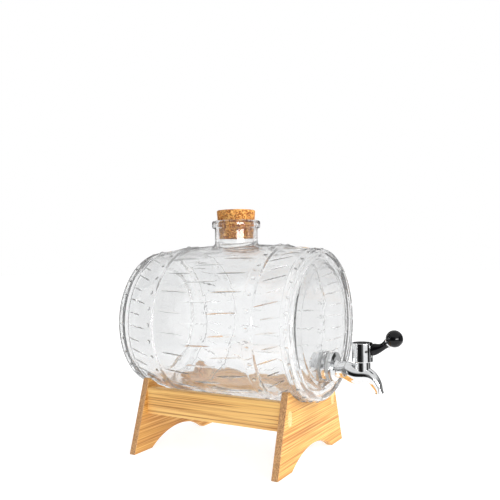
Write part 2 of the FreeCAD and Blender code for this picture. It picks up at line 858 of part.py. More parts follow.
def valve_plug():
    """The soft plug on the stem's foot, with a nose that enters the seat."""
    hole = "Worked.guide_bore"
    return turned(
        "valve_plug",
        [
            ("0", "Worked.plug_base - Sizes.plug_nose"),
            ("Sizes.seat_bore / 2", "Worked.plug_base - Sizes.plug_nose"),
            ("Sizes.seat_bore - Sizes.nose_gap", "Worked.plug_base"),
            ("Sizes.plug_radius", "Worked.plug_base"),
            ("Sizes.plug_radius", "Worked.plug_top"),
            (hole, "Worked.plug_top"),
            (hole, "Worked.plug_base + Sizes.plug_thickness / 2"),
            ("0", "Worked.plug_base + Sizes.plug_thickness / 2"),
        ],
    )


def stem_guide():
    """The bush in the top of the chamber, with a recess for the o-ring."""
    outer = "Sizes.chamber_bore - Sizes.guide_fit"
    top = "Worked.neck_tube_top + Sizes.guide_flange"
    return turned(
        "stem_guide",
        [
            ("Sizes.ring_recess_radius", "Worked.guide_base"),
            (outer, "Worked.guide_base"),
            (outer, "Worked.neck_tube_top"),
            ("Sizes.neck_tube_radius", "Worked.neck_tube_top"),
            ("Sizes.neck_tube_radius", top),
            ("Worked.guide_bore", top),
            ("Worked.guide_bore", "Worked.guide_base + Sizes.ring_recess"),
            ("Sizes.ring_recess_radius", "Worked.guide_base + Sizes.ring_recess"),
        ],
    )


def stem_nut():
    """The round nut on the stem's top, which the lever's fork lifts."""
    hole = "Worked.guide_bore"
    return turned(
        "stem_nut",
        [
            (hole, "Worked.stem_nut_base"),
            ("Sizes.stem_nut_radius", "Worked.stem_nut_base"),
            ("Sizes.stem_nut_radius", "Worked.stem_top"),
            (hole, "Worked.stem_top"),
        ],
    )


def stem_o_ring():
    ring = doc.addObject("Part::Torus", "stem_o_ring")
    ring.Label = "stem_o_ring"
    bind(ring, "Radius1", "(Sizes.stem_radius + Sizes.ring_recess_radius) / 2")
    bind(ring, "Radius2", "Sizes.o_ring_tube")
    bind(ring, "Placement.Base.y", "Worked.valve_y")
    bind(ring, "Placement.Base.z", "Worked.guide_base + Sizes.ring_recess / 2")
    return ring


def biarc(start, start_way, end, end_way):
    """Two arcs that join two points and keep both directions."""
    gap = end - start
    both = start_way + end_way
    a = 2 * start_way.dot(end_way) - 2
    b = -2 * gap.dot(both)
    c = gap.dot(gap)
    reach = (-b - math.sqrt(b * b - 4 * a * c)) / (2 * a)
    corners = (start + start_way * reach, end - end_way * reach)
    middle = (corners[0] + corners[1]) / 2
    return [arc_round(start, corners[0], middle), arc_round(middle, corners[1], end)]


def arc_round(start, corner, end):
    """The arc that touches the lines from a corner to two points at the same distance."""
    chord_middle = (start + end) / 2
    half = (end - start).Length / 2
    inward = corner - chord_middle
    turn = math.atan2(inward.Length, half)
    inward.normalize()
    return Part.Arc(start, chord_middle + inward * half * math.tan(turn / 2), end)


def return_spring():
    """The coil spring between the stem's collar and the guide."""
    radius = number("Sizes.spring_radius")
    wire = number("Sizes.spring_wire / 2")
    low = number("Worked.collar_top + Sizes.spring_seat_gap") + wire
    high = number("Worked.guide_base - Sizes.spring_seat_gap") - wire
    turns = number("Sizes.spring_turns")
    axis_y = number("Worked.valve_y")
    steps = int(round(turns * 4))
    climb = (high - low) / steps
    places, ways = [], []
    for step in range(steps + 1):
        turn = step * math.pi / 2
        places.append(
            FreeCAD.Vector(radius * math.cos(turn), axis_y + radius * math.sin(turn), low + climb * step)
        )
        way = FreeCAD.Vector(-radius * math.sin(turn), radius * math.cos(turn), climb / (math.pi / 2))
        ways.append(way.normalize())
    arcs = []
    for i in range(steps):
        arcs.extend(biarc(places[i], ways[i], places[i + 1], ways[i + 1]))
    path = Part.Wire([arc.toShape() for arc in arcs])
    ring = Part.Wire([Part.Circle(places[0], ways[0], wire).toShape()])
    coil = doc.addObject("Part::Feature", "return_spring")
    coil.Label = "return_spring"
    coil.Shape = path.makePipeShell([ring], True, False)
    print("least gap between the spring's turns: %.2f" % (4 * climb - 2 * wire))
    return coil


# Bonnet, lever, pin and knob

def tap_bonnet():
    """The cap over the chamber, slotted at the front and the top for the lever."""
    radius = "Sizes.bonnet_radius"
    bonnet = turned(
        "tap_bonnet",
        [
            ("Sizes.bonnet_bore", "Worked.bonnet_bottom"),
            (radius, "Worked.bonnet_bottom"),
            (radius + " - Sizes.bonnet_taper", "Worked.bonnet_top"),
            ("0", "Worked.bonnet_top"),
            ("0", "Worked.bonnet_ceiling"),
            ("Sizes.bonnet_bore", "Worked.bonnet_ceiling"),
        ],
    )
    top, bottom = number("Worked.bonnet_top"), number("Worked.bonnet_bottom")
    wide, narrow = number(radius), number(radius + " - Sizes.bonnet_taper")

    def rim(edge):
        return is_circle_at(edge, ALONG_Z, top, narrow) or is_circle_at(edge, ALONG_Z, bottom, wide)

    ease_edges(bonnet, "bonnet_edges", "Fillet", "Sizes.bonnet_edge", rim)
    slot = new_sketch(bonnet, "bonnet_slot_outline", "YZ_Plane")
    draw_box(
        slot,
        ("-(%s) - Sizes.slot_depth" % radius, "Worked.tap_height + Sizes.slot_sill"),
        ("-(%s) + Sizes.slot_depth" % radius, "Worked.bonnet_top + Sizes.bonnet_roof"),
    )
    cut(bonnet, "bonnet_slot", slot, "2 * Worked.slot_half", Midplane=True)
    bore = new_sketch(bonnet, "bonnet_pin_outline", "YZ_Plane")
    draw_circle(bore, ("-Sizes.pivot_reach", "Worked.pivot_z"), "Sizes.pin_radius + Sizes.pin_gap")
    cut(bonnet, "bonnet_pin_bore", bore, "4 * Sizes.bonnet_radius", Midplane=True)
    return bonnet


def lever_section(section):
    """An upright oval across the lever."""
    stem = "Sizes.lever_%s_" % section
    oval = doc.addObject("Part::Ellipse", "lever_" + section)
    level = FreeCAD.Rotation(ALONG_Z, -ALONG_X, -ALONG_Y, "XYZ")
    tilt = FreeCAD.Rotation(ALONG_X, -number(stem + "angle"))
    oval.Placement = FreeCAD.Placement(FreeCAD.Vector(), tilt.multiply(level))
    bind(oval, "MajorRadius", stem + "half_height")
    bind(oval, "MinorRadius", stem + "half_width")
    bind(oval, "Placement.Base.y", "Worked.pivot_y - %sforward" % stem)
    bind(oval, "Placement.Base.z", "Worked.pivot_z + %sabove" % stem)
    oval.Visibility = False
    return oval


def across(name, radius, width, y, z):
    """A cylinder along X, centred on the middle plane."""
    return rod(name, radius, width, ("-(%s) / 2" % width, y, z), ALONG_X)


def block(name, width, y, z, length, height):
    """A box centred on the middle plane, from a low front corner."""
    made = doc.addObject("Part::Box", name)
    bind(made, "Length", width)
    bind(made, "Width", length)
    bind(made, "Height", height)
    bind(made, "Placement.Base.x", "-(%s) / 2" % width)
    bind(made, "Placement.Base.y", y)
    bind(made, "Placement.Base.z", z)
    return made


def lever_way():
    """The direction in which the lever's end points."""
    angle = math.radians(number("Sizes.lever_end_angle"))
    return FreeCAD.Vector(0, -math.cos(angle), math.sin(angle))


LEVER_END = ("0", "Worked.pivot_y - Sizes.lever_end_forward", "Worked.pivot_z + Sizes.lever_end_above")


def tap_lever():
    """The lever: a swelling arm, a boss on the pin and a fork under the stem's nut."""
    arm = loft("lever_arm", [lever_section(section) for section in LEVER])
    width = "Sizes.lever_width"
    boss = across("lever_boss", "Sizes.lever_boss", width, "Worked.pivot_y", "Worked.pivot_z")
    nub_z = "Worked.pivot_z - Sizes.fork_drop"
    nub = across("lever_fork_nub", "Sizes.fork_nub", width, "Worked.valve_y", nub_z)
    bar = block(
        "lever_fork_bar", width, "Worked.pivot_y", nub_z + " - Sizes.fork_nub",
        "Sizes.pivot_reach", "Sizes.fork_bar",
    )
    stud = rod("lever_stud", "Sizes.stud_radius", "Sizes.stud_length", LEVER_END, lever_way())
    solid = joined("lever_solid", [arm, boss, nub, bar, stud])
    bore = across(
        "lever_bore", "Sizes.pin_radius + Sizes.pin_gap", "2 * " + width,
        "Worked.pivot_y", "Worked.pivot_z",
    )
    fork = block(
        "lever_fork_gap", "2 * Worked.fork_half_gap",
        "Worked.valve_y - Sizes.stem_radius - 4 * Sizes.fork_gap",
        "Worked.pivot_z - 2 * Sizes.lever_boss", "2 * Sizes.lever_boss", "4 * Sizes.lever_boss",
    )
    return cut_from("tap_lever", solid, joined("lever_gaps", [bore, fork]))


def lever_pin():
    pin = across("lever_pin", "Sizes.pin_radius", "Sizes.pin_length", "Worked.pivot_y", "Worked.pivot_z")
    pin.Label = "lever_pin"
    return pin


def on_lever(body):
    """Put a body's own Z axis along the lever's end."""
    body.Placement = FreeCAD.Placement(FreeCAD.Vector(), FreeCAD.Rotation(ALONG_Z, lever_way()))
    place_body(body, y=LEVER_END[1], z=LEVER_END[2])


def knob_ring():
    """The bright ring between the lever and its knob."""
    body = new_body("knob_ring")
    on_lever(body)
    side = new_sketch(body, "knob_ring_side", "YZ_Plane")
    hole = "Sizes.stud_radius + Sizes.knob_hole_gap"
    draw_box(side, (hole, "0"), ("Sizes.knob_ring_radius", "Sizes.knob_ring_thickness"))
    revolve(body, "knob_ring_form", side, "V_Axis")
    return body


def lever_knob():
    """The ball knob, with a flat and a blind hole for the lever's stud."""
    body = new_body("lever_knob")
    on_lever(body)
    side = new_sketch(body, "knob_side", "YZ_Plane")
    face = "Sizes.knob_ring_thickness"
    centre = face + " + Worked.ball_centre"
    hole = "Sizes.stud_radius + Sizes.knob_hole_gap"
    depth = "Sizes.stud_length + Sizes.knob_hole_gap"
    draw_outline(
        side,
        [
            (hole, face),
            ("Sizes.knob_neck", face),
            ("Sizes.knob_radius", centre),
            ("0", centre + " + Sizes.knob_radius"),
            ("0", depth),
            (hole, depth),
        ],
        {1: ("Sizes.knob_radius", 1), 2: ("Sizes.knob_radius", 1)},
    )
    revolve(body, "knob_form", side, "V_Axis")
    return body


PIECES = [
    leg_panel("front_leg_panel", "-Sizes.stand_length / 2", 1),
    leg_panel("rear_leg_panel", "Sizes.stand_length / 2", -1),
    side_rail("left_rail", "-"),
    side_rail("right_rail", ""),
    *glass_pieces(),
    cork_stopper(),
    tap_body(),
    washer(
        "outer_gasket", "Sizes.gasket_radius", "Sizes.shank_radius + Sizes.thread_gap",
        "-Worked.flange_back", "Sizes.outer_gasket_thickness",
    ),
    washer(
        "inner_gasket", "Sizes.gasket_radius", "Sizes.shank_radius + Sizes.thread_gap",
        "-Worked.bore_end", "Sizes.inner_gasket_thickness",
    ),
    shank_nut(),
    valve_stem(),
    valve_plug(),
    stem_guide(),
    stem_nut(),
    stem_o_ring(),
    return_spring(),
    tap_bonnet(),
    tap_lever(),
    lever_pin(),
    knob_ring(),
    lever_knob(),
]

# The shift that puts the origin under the middle of the whole length
for piece in PIECES:
    own_y = dict(piece.ExpressionEngine).get(".Placement.Base.y", "0")
    bind(piece, "Placement.Base.y", own_y + " + Worked.shift")

doc.removeObject(trial.Name)
doc.recompute()

for thing in doc.Objects:
    if "Invalid" in thing.State or "Error" in thing.State:
        raise RuntimeError("%s did not build" % thing.Label)
for piece in PIECES:
    if piece.Shape.isNull() or not piece.Shape.isValid():
        raise RuntimeError("%s has no valid shape" % piece.Label)

os.makedirs("parts", exist_ok=True)
for piece in PIECES:
    piece.Shape.exportStep("parts/%s.step" % piece.Label)
    box = piece.Shape.BoundBox
    print(
        "%-18s %d solid  %9.1f mm3  x %7.2f %7.2f  y %7.2f %7.2f  z %7.2f %7.2f"
        % (
            piece.Label, len(piece.Shape.Solids), piece.Shape.Volume,
            box.XMin, box.XMax, box.YMin, box.YMax, box.ZMin, box.ZMax,
        )
    )
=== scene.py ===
# %% [markdown]
# A glass barrel dispenser on a bamboo stand
#
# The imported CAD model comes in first, as a frame that stays where it is. Wood, chrome and the
# black lever keep their CAD shape and get a finish. The glass and the cork are made again here,
# because their looks are in small relief: wood grain, rivets and pores.

# %% Load the frame
import math

import bpy
import numpy as np
from mathutils import Matrix, Vector, noise


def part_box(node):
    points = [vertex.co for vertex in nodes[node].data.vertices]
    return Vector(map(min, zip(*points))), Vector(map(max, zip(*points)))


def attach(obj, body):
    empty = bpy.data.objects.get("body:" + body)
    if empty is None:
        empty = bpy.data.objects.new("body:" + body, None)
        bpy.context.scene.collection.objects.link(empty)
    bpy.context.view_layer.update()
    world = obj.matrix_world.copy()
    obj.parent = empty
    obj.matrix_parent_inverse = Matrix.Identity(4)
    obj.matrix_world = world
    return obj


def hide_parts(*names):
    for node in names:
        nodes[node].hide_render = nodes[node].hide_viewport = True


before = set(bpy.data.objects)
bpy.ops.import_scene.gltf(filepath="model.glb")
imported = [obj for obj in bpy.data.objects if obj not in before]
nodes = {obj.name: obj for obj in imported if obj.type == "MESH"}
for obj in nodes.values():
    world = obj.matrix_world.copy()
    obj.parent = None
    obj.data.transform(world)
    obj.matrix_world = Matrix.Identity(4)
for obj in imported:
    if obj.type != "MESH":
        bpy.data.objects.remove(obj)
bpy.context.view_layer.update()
MM = 0.001
print("nodes in the frame:", len(nodes))

# %% [markdown]
# Places that the rest needs
#
# The barrel lies along Y. Its middle comes from its box: the back head is bare, while the front
# one carries a boss, so the length is counted from the back.

# %% Where the barrel and the tap are
BARREL_LENGTH = 185.0
HALF_LENGTH = BARREL_LENGTH / 2
glass_low, glass_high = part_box("glass_rear")
BELLY_RADIUS = (glass_high.x - glass_low.x) / 2 / MM
barrel_middle = Vector((0, glass_high.y - HALF_LENGTH * MM, glass_low.z + BELLY_RADIUS * MM))
print("barrel middle:", [round(value, 4) for value in barrel_middle])

# %% [markdown]
# Helpers for node trees
#
# Materials and Geometry Nodes are both trees, so one function adds a node to either: settings are
# its own properties, and inputs are plain values or sockets to link.


# %% Node helpers
def add_node(tree, kind, inputs=None, **settings):
    """A node with its settings made and its inputs filled or linked."""
    made = tree.nodes.new(kind)
    for key, value in settings.items():
        setattr(made, key, value)
    for key, value in (inputs or {}).items():
        if isinstance(value, bpy.types.NodeSocket):
            tree.links.new(value, made.inputs[key])
        else:
            made.inputs[key].default_value = value
    return made


def calculate(tree, operation, *values):
    """A Math node's result."""
    made = add_node(tree, "ShaderNodeMath", dict(enumerate(values)), operation=operation)
    return made.outputs[0]


def blank_material(name):
    """A material with only a Principled shader: (material, tree, shader)."""
    material = bpy.data.materials.new(name)
    material.use_nodes = True
    tree = material.node_tree
    return material, tree, tree.nodes["Principled BSDF"]


def combine(tree, x=0.0, y=0.0, z=0.0):
    """A vector from three numbers or sockets."""
    return add_node(tree, "ShaderNodeCombineXYZ", {"X": x, "Y": y, "Z": z}).outputs[0]


def length_of(tree, first, second):
    """The length of the diagonal over two sides."""
    squares = [calculate(tree, "POWER", side, 2.0) for side in (first, second)]
    return calculate(tree, "SQRT", calculate(tree, "ADD", *squares))


def object_place(tree, scale=1.0):
    """Object coordinates, scaled to a pattern."""
    place = add_node(tree, "ShaderNodeTexCoord").outputs["Object"]
    mapping = add_node(tree, "ShaderNodeMapping", {"Vector": place, "Scale": (scale, scale, scale)})
    return mapping.outputs[0]


def noise_value(tree, place, scale, detail=3.0, roughness=0.5, distortion=0.0):
    """A Noise texture's grey value."""
    settings = {"Scale": scale, "Detail": detail, "Roughness": roughness, "Distortion": distortion}
    return add_node(tree, "ShaderNodeTexNoise", {"Vector": place, **settings}).outputs["Fac"]


def ramp(tree, value, *stops):
    """A Color Ramp over a value. Each stop is (place, colour)."""
    made = add_node(tree, "ShaderNodeValToRGB", {"Fac": value})
    elements = made.color_ramp.elements
    while len(elements) < len(stops):
        elements.new(0.5)
    for element, (place, colour) in zip(elements, stops):
        element.position = place
        element.color = (*colour, 1) if len(colour) == 3 else colour
    return made.outputs["Color"]


def mix_colours(tree, share, first, second, blend="MIX"):
    """A Mix node for colours."""
    made = tree.nodes.new("ShaderNodeMix")
    made.data_type = "RGBA"
    made.blend_type = blend
    for socket, value in ((made.inputs[0], share), (made.inputs[6], first), (made.inputs[7], second)):
        if isinstance(value, bpy.types.NodeSocket):
            tree.links.new(value, socket)
        else:
            socket.default_value = value
    return made.outputs[2]


def bump(tree, height, distance, strength=1.0):
    """A Bump node's normal."""
    made = add_node(tree, "ShaderNodeBump", {"Height": height, "Distance": distance, "Strength": strength})
    return made.outputs["Normal"]


def spread(tree, value, low, high, to_low, to_high):
    """A Map Range node."""
    made = add_node(
        tree,
        "ShaderNodeMapRange",
        {"Value": value, "From Min": low, "From Max": high, "To Min": to_low, "To Max": to_high},
    )
    return made.outputs["Result"]


# %% [markdown]
# Helpers for meshes
#
# The barrel, the holes in it and the cork are all round. A lathe function turns a half profile
# into a closed shell: profile points are (along, radius) in millimetres, and a radius of zero
# closes the shell in a pole.


# %% Mesh helpers
def mesh_object(name, places, faces):
    """An object with a smooth mesh whose places are in millimetres."""
    mesh = bpy.data.meshes.new(name)
    mesh.from_pydata([tuple(Vector(place) * MM) for place in places], [], faces)
    mesh.polygons.foreach_set("use_smooth", [True] * len(mesh.polygons))
    mesh.update()
    made = bpy.data.objects.new(name, mesh)
    bpy.context.scene.collection.objects.link(made)
    return made


STRAIGHT_ENOUGH = math.radians(12)
CORNER_STEPS = 3


def softened(corners, size):
    """A profile whose inner corners are rounded over a short length."""
    points = [Vector(corners[0])]
    for before, corner, after in zip(corners, corners[1:], corners[2:]):
        before, corner, after = Vector(before), Vector(corner), Vector(after)
        near = min(size, (corner - before).length * 0.45, (after - corner).length * 0.45)
        start = corner + (before - corner).normalized() * near
        end = corner + (after - corner).normalized() * near
        if (corner - before).angle(after - corner) < STRAIGHT_ENOUGH:
            points.append(corner)
            continue
        for step in range(CORNER_STEPS + 1):
            t = step / CORNER_STEPS
            points.append(start * (1 - t) ** 2 + corner * 2 * t * (1 - t) + end * t * t)
    points.append(Vector(corners[-1]))
    return points


def lathe(name, profile, segments, axis="Y", centre=(0, 0, 0), shape=None):
    """A closed shell turned about an axis. shape may move each place."""
    places, rings = [], []
    for along, radius in profile:
        ring = []
        count = 1 if radius < 1e-6 else segments
        for i in range(count):
            turn = 2 * math.pi * i / segments
            around = (radius * math.sin(turn), radius * math.cos(turn))
            place = (around[0], along, around[1]) if axis == "Y" else (around[1], around[0], along)
            place = Vector(place)
            if shape:
                place = shape(place)
            ring.append(len(places))
            places.append(place + Vector(centre))
        rings.append(ring)
    faces = []
    for near, far in zip(rings, rings[1:]):
        for i in range(segments):
            j = (i + 1) % segments
            corners = [near[i % len(near)], near[j % len(near)], far[j % len(far)], far[i % len(far)]]
            faces.append(list(dict.fromkeys(corners)))
    made = mesh_object(name, places, faces)
    set_outward(made.data)
    return made


def set_outward(mesh):
    """Turn a closed shell's faces outwards, by the sign of its volume."""
    mesh.calc_loop_triangles()
    volume = 0.0
    for triangle in mesh.loop_triangles:
        a, b, c = (mesh.vertices[i].co for i in triangle.vertices)
        volume += a.dot(b.cross(c))
    if volume < 0:
        mesh.flip_normals()


def sampled(low, high, step, radius_at):
    """Profile points along a curved stretch."""
    count = max(2, math.ceil(abs(high - low) / step) + 1)
    return [(along, radius_at(along)) for along in np.linspace(low, high, count)]


# %% [markdown]
# Camera
#
# The photograph's camera was worked out from the stand, whose boards are straight and square. It
# stands to the left of the tap and a little above the barrel's middle, almost level.

# %% Camera
CAMERA_PLACE = (-0.4977, -0.2725, 0.1749)
CAMERA_AZIMUTH = math.radians(-59.69)
CAMERA_ELEVATION = math.radians(-1.10)
CAMERA_ROLL = math.radians(-0.87)
CAMERA_LENS = 43.99
CAMERA_CLIP = 0.02

back = Vector(
    (
        math.sin(CAMERA_AZIMUTH) * math.cos(CAMERA_ELEVATION),
        -math.cos(CAMERA_AZIMUTH) * math.cos(CAMERA_ELEVATION),
        math.sin(CAMERA_ELEVATION),
    )
)
right = Vector((math.cos(CAMERA_AZIMUTH), math.sin(CAMERA_AZIMUTH), 0))
up = back.cross(right)
rolled_right = right * math.cos(CAMERA_ROLL) + up * math.sin(CAMERA_ROLL)
rolled_up = up * math.cos(CAMERA_ROLL) - right * math.sin(CAMERA_ROLL)
camera_data = bpy.data.cameras.new("camera")
camera_data.lens = CAMERA_LENS
camera_data.clip_start = CAMERA_CLIP
camera = bpy.data.objects.new("camera", camera_data)
bpy.context.scene.collection.objects.link(camera)
turn = Matrix((rolled_right, rolled_up, back)).transposed().to_4x4()
camera.matrix_world = Matrix.Translation(CAMERA_PLACE) @ turn
bpy.context.scene.camera = camera
print("camera at", CAMERA_PLACE, "with a lens of", CAMERA_LENS, "mm")

# %% [markdown]
# The glass: one profile
#
# The barrel is one moulded body. Its staves bulge on a large arc, four hoops stand proud by a
# little over a millimetre, and a chime rounds over to a head that is set back a little.

# %% Barrel sizes
HOOP_RAISE = 1.2
HOOP_FLANK = 1.2
HOOP_WIDTH = 8.6
END_RADIUS = 64.4
INNER_HOOP = 46.7
OUTER_HOOP = 80.7
CHIME_CREST = 60.2
CHIME_ROUND = 5.0
CHIME_INSIDE = 54.5
HEAD_RADIUS = 50.0
HEAD_RECESS = 1.5
PROFILE_STEP = 4.0
PROFILE_CORNER = 0.45
SAGITTA = BELLY_RADIUS - END_RADIUS
STAVE_ARC = (HALF_LENGTH**2 + SAGITTA**2) / (2 * SAGITTA)
STAVE_CENTRE = BELLY_RADIUS - STAVE_ARC


def stave_radius(along, raise_by=0.0):
    """The barrel's outer radius at a distance from its middle."""
    return STAVE_CENTRE + math.sqrt((STAVE_ARC + raise_by) ** 2 - along**2)


def hoop_profile(start):
    """One hoop, from its inner flank to its outer one."""
    end = start + HOOP_WIDTH
    foot, toe = start - HOOP_FLANK, end + HOOP_FLANK
    top = sampled(start, end, 3.0, lambda along: stave_radius(along, HOOP_RAISE))
    return [(foot, stave_radius(foot)), *top, (toe, stave_radius(toe))]


def chime_profile():
    """The rounded rim, from the last hoop's toe to the head's centre."""
    start = Vector((OUTER_HOOP + HOOP_WIDTH + HOOP_FLANK, 0))
    start.y = stave_radius(start.x)
    end = Vector((HALF_LENGTH, CHIME_CREST))
    bulge = (end - start).orthogonal().normalized() * (CHIME_ROUND * 0.18)
    if bulge.y < 0:
        bulge = -bulge
    middle = (start + end) / 2 + bulge
    head_plane = HALF_LENGTH - HEAD_RECESS
    return [
        tuple(middle),
        tuple(end),
        (HALF_LENGTH, CHIME_INSIDE),
        (head_plane, HEAD_RADIUS),
        (head_plane, HEAD_RADIUS / 2),
        (head_plane, 0.0),
    ]


def outside_profile():
    """The whole outer profile, from the front head to the back one."""
    half = sampled(0.0, INNER_HOOP - 2 * HOOP_FLANK, PROFILE_STEP, stave_radius)
    half += hoop_profile(INNER_HOOP)
    half += sampled(INNER_HOOP + HOOP_WIDTH + 1.5, OUTER_HOOP - 1.5, PROFILE_STEP, stave_radius)
    half += hoop_profile(OUTER_HOOP) + chime_profile()
    whole = [(-along, radius) for along, radius in reversed(half[1:])] + half
    return [(point.x, point.y) for point in softened(whole, PROFILE_CORNER)]


print("stave arc:", round(STAVE_ARC, 1), "mm, outer profile:", len(outside_profile()), "points")

# %% [markdown]
# The inside
#
# A closed vessel with a narrow neck is blown in a mould. The outside takes the mould's shape, and
# the inside, which nothing touches, stays slightly wavy. That gives bottles their streaks, so the
# inner shell is moved by a slow noise, and by a stronger one low down, where glass gathers.

# %% Inside profile and waviness
WAVE_HEIGHT = 0.26
WAVE_LENGTH = 26.0
FOOT_WAVE_HEIGHT = 0.9
FOOT_WAVE_LENGTH = 15.0
GLASS_WALL = 4.0
HEAD_WALL = 6.0
HEAD_CORNER = 9.0
HEAD_CORNER_STEPS = 8
BORE_END = HALF_LENGTH - HEAD_RECESS - HEAD_WALL


def bore_radius(along):
    """The inner radius at a distance from the middle."""
    return STAVE_CENTRE + math.sqrt((STAVE_ARC - GLASS_WALL) ** 2 - along**2)


def inside_profile():
    """The inner profile, with a large corner at each head."""
    corner = BORE_END - HEAD_CORNER
    rise = bore_radius(corner) - HEAD_CORNER
    half = sampled(0.0, corner, PROFILE_STEP, bore_radius)
    for step in range(1, HEAD_CORNER_STEPS + 1):
        angle = math.radians(90 - step * 90 / HEAD_CORNER_STEPS)
        half.append((corner + HEAD_CORNER * math.cos(angle), rise + HEAD_CORNER * math.sin(angle)))
    half += [(BORE_END, rise * share) for share in (0.8, 0.6, 0.4, 0.2, 0.0)]
    return [(-along, radius) for along, radius in reversed(half[1:])] + half


def wavy(place):
    """Move a place of the inner shell along its radius by a slow noise."""
    swell = noise.noise(place / WAVE_LENGTH) + 0.4 * noise.noise(place / WAVE_LENGTH * 2.3)
    low = min(max((-place.z - 0.35 * BELLY_RADIUS) / (0.4 * BELLY_RADIUS), 0.0), 1.0)
    ripple = noise.noise(place / FOOT_WAVE_LENGTH + Vector((7, 3, 5)))
    outward = Vector((place.x, place.y * 0.2, place.z)).normalized()
    return place + outward * (WAVE_HEIGHT * swell + FOOT_WAVE_HEIGHT * low * ripple)


print("inner profile:", len(inside_profile()), "points")

# %% [markdown]
# Neck, boss and holes
#
# The neck grows out of the belly in a small radius. Its skirt follows the curved barrel, so each
# ring of the neck is drawn at the height that the barrel has there. The boss is a flat pad for
# the tap, and three more shells are the hollows: the inside, the neck's bore and the tap's hole.

# %% Neck, boss and hollow shells
NECK_RADIUS = 20.3
NECK_ROOT = 3.6
LIP_RADIUS = 22.95
LIP_TOP = BELLY_RADIUS + 22.5
LIP_DEPTH = 7.0
LIP_EDGE = 1.6
NECK_SEGMENTS = 144
CORK_TOP = 105.2
CORK_BASE = 77.6
SOCKET_LOW = 16.5
SOCKET_HIGH = 17.97
TAP_DROP = 36.2
BOSS_RADIUS = 13.3
BOSS_FACE = HALF_LENGTH + 2.0
BOSS_EDGE = 0.8
TAP_HOLE = 8.3


def barrel_height(x, y):
    """The height of the barrel's upper side over its axis."""
    return math.sqrt(max(stave_radius(y) ** 2 - x * x, 0.0))


def neck_skin():
    """The neck as a closed shell that dips into the barrel's wall."""
    rings = []

    def ring(radius, height):
        row = []
        for i in range(NECK_SEGMENTS):
            turn = 2 * math.pi * i / NECK_SEGMENTS
            x, y = radius * math.cos(turn), radius * math.sin(turn)
            row.append((x, y, height(math.cos(turn), math.sin(turn))))
        rings.append(row)

    wide = NECK_RADIUS + NECK_ROOT
    ring(wide, lambda c, s: barrel_height(wide * c, wide * s) - 1.2)
    for step in range(9):
        t = step / 8
        radius = wide * (1 - t) ** 2 + NECK_RADIUS * (2 * t * (1 - t) + t * t)

        def height(c, s, t=t):
            foot = barrel_height(wide * c, wide * s) - 0.03
            corner = barrel_height(NECK_RADIUS * c, NECK_RADIUS * s)
            return foot * (1 - t) ** 2 + corner * 2 * t * (1 - t) + (corner + NECK_ROOT) * t * t

        ring(radius, height)
    under = LIP_TOP - LIP_DEPTH
    ring(NECK_RADIUS, lambda c, s: under - 2.0)
    ring(NECK_RADIUS + 0.1, lambda c, s: under - 0.6)
    for corner_height, first in ((under + LIP_EDGE, -90), (LIP_TOP - LIP_EDGE, 0)):
        for step in range(6):
            angle = math.radians(first + step * 18)
            rim = LIP_RADIUS - LIP_EDGE + LIP_EDGE * math.cos(angle)
            level = corner_height + LIP_EDGE * math.sin(angle)
            ring(rim, lambda c, s, level=level: level)
    ring(SOCKET_HIGH + 1.2, lambda c, s: LIP_TOP)
    ring(SOCKET_HIGH / 2, lambda c, s: LIP_TOP)
    places = [place for row in rings for place in row]
    faces = []
    for k in range(len(rings) - 1):
        for i in range(NECK_SEGMENTS):
            j = (i + 1) % NECK_SEGMENTS
            low, high = k * NECK_SEGMENTS, (k + 1) * NECK_SEGMENTS
            faces.append([low + i, low + j, high + j, high + i])
    for row, height in ((0, BELLY_RADIUS - 8.0), (len(rings) - 1, LIP_TOP)):
        centre = len(places)
        places.append((0, 0, height))
        for i in range(NECK_SEGMENTS):
            j = (i + 1) % NECK_SEGMENTS
            first = row * NECK_SEGMENTS
            ends = [first + j, first + i] if row == 0 else [first + i, first + j]
            faces.append([*ends, centre])
    made = mesh_object("neck_shell", places, faces)
    set_outward(made.data)
    return made


barrel_shell = lathe("barrel_shell", outside_profile(), 288)
bore_shell = lathe("bore_shell", inside_profile(), 192, shape=wavy)
neck_shell = neck_skin()
socket_profile = [
    (BELLY_RADIUS - 12.0, 0.0),
    (BELLY_RADIUS - 12.0, SOCKET_LOW),
    (CORK_BASE, SOCKET_LOW),
    (LIP_TOP - 0.9, SOCKET_HIGH),
    (LIP_TOP - 0.2, SOCKET_HIGH + 0.4),
    (LIP_TOP + 0.1, SOCKET_HIGH + 1.0),
    (LIP_TOP + 3.0, SOCKET_HIGH + 1.0),
    (LIP_TOP + 3.0, 0.0),
]
socket_shell = lathe("socket_shell", socket_profile, 144, axis="Z")
BOSS_ROOT = -BORE_END - 1.0
boss_corners = [(BOSS_ROOT, 0.0), (BOSS_ROOT, BOSS_RADIUS), (-BOSS_FACE, BOSS_RADIUS), (-BOSS_FACE, 0.0)]
boss_profile = softened(boss_corners, BOSS_EDGE)
boss_shell = lathe("boss_shell", [tuple(p) for p in boss_profile], 96, centre=(0, 0, -TAP_DROP))
HOLE_ENDS = (-BOSS_FACE - 2, -BORE_END + 4)
hole_profile = [(HOLE_ENDS[0], 0.0), (HOLE_ENDS[0], TAP_HOLE), (HOLE_ENDS[1], TAP_HOLE), (HOLE_ENDS[1], 0.0)]
hole_shell = lathe("hole_shell", hole_profile, 96, centre=(0, 0, -TAP_DROP))
print("barrel shell:", len(barrel_shell.data.polygons), "faces")

# %% [markdown]
# The relief: Geometry Nodes
#
# Grain dashes and rivets repeat round the barrel by a rule, which is what Geometry Nodes do best.
# Points are set on a plain cylinder, a long bead or a dome goes on each, and the whole is then
# bent to the barrel's arc. A Mesh Boolean welds it to the shell and cuts the hollows, so the glass
# stays one closed body, which is what makes it refract as one.

# %% Grain and rivet group
GRAIN_WIDTH = 1.6
GRAIN_HEIGHT = 1.2
RIVETS = 30
RIVET_RADIUS = 1.9
RIVET_HEIGHT = 1.1
BEAD_RINGS = 12


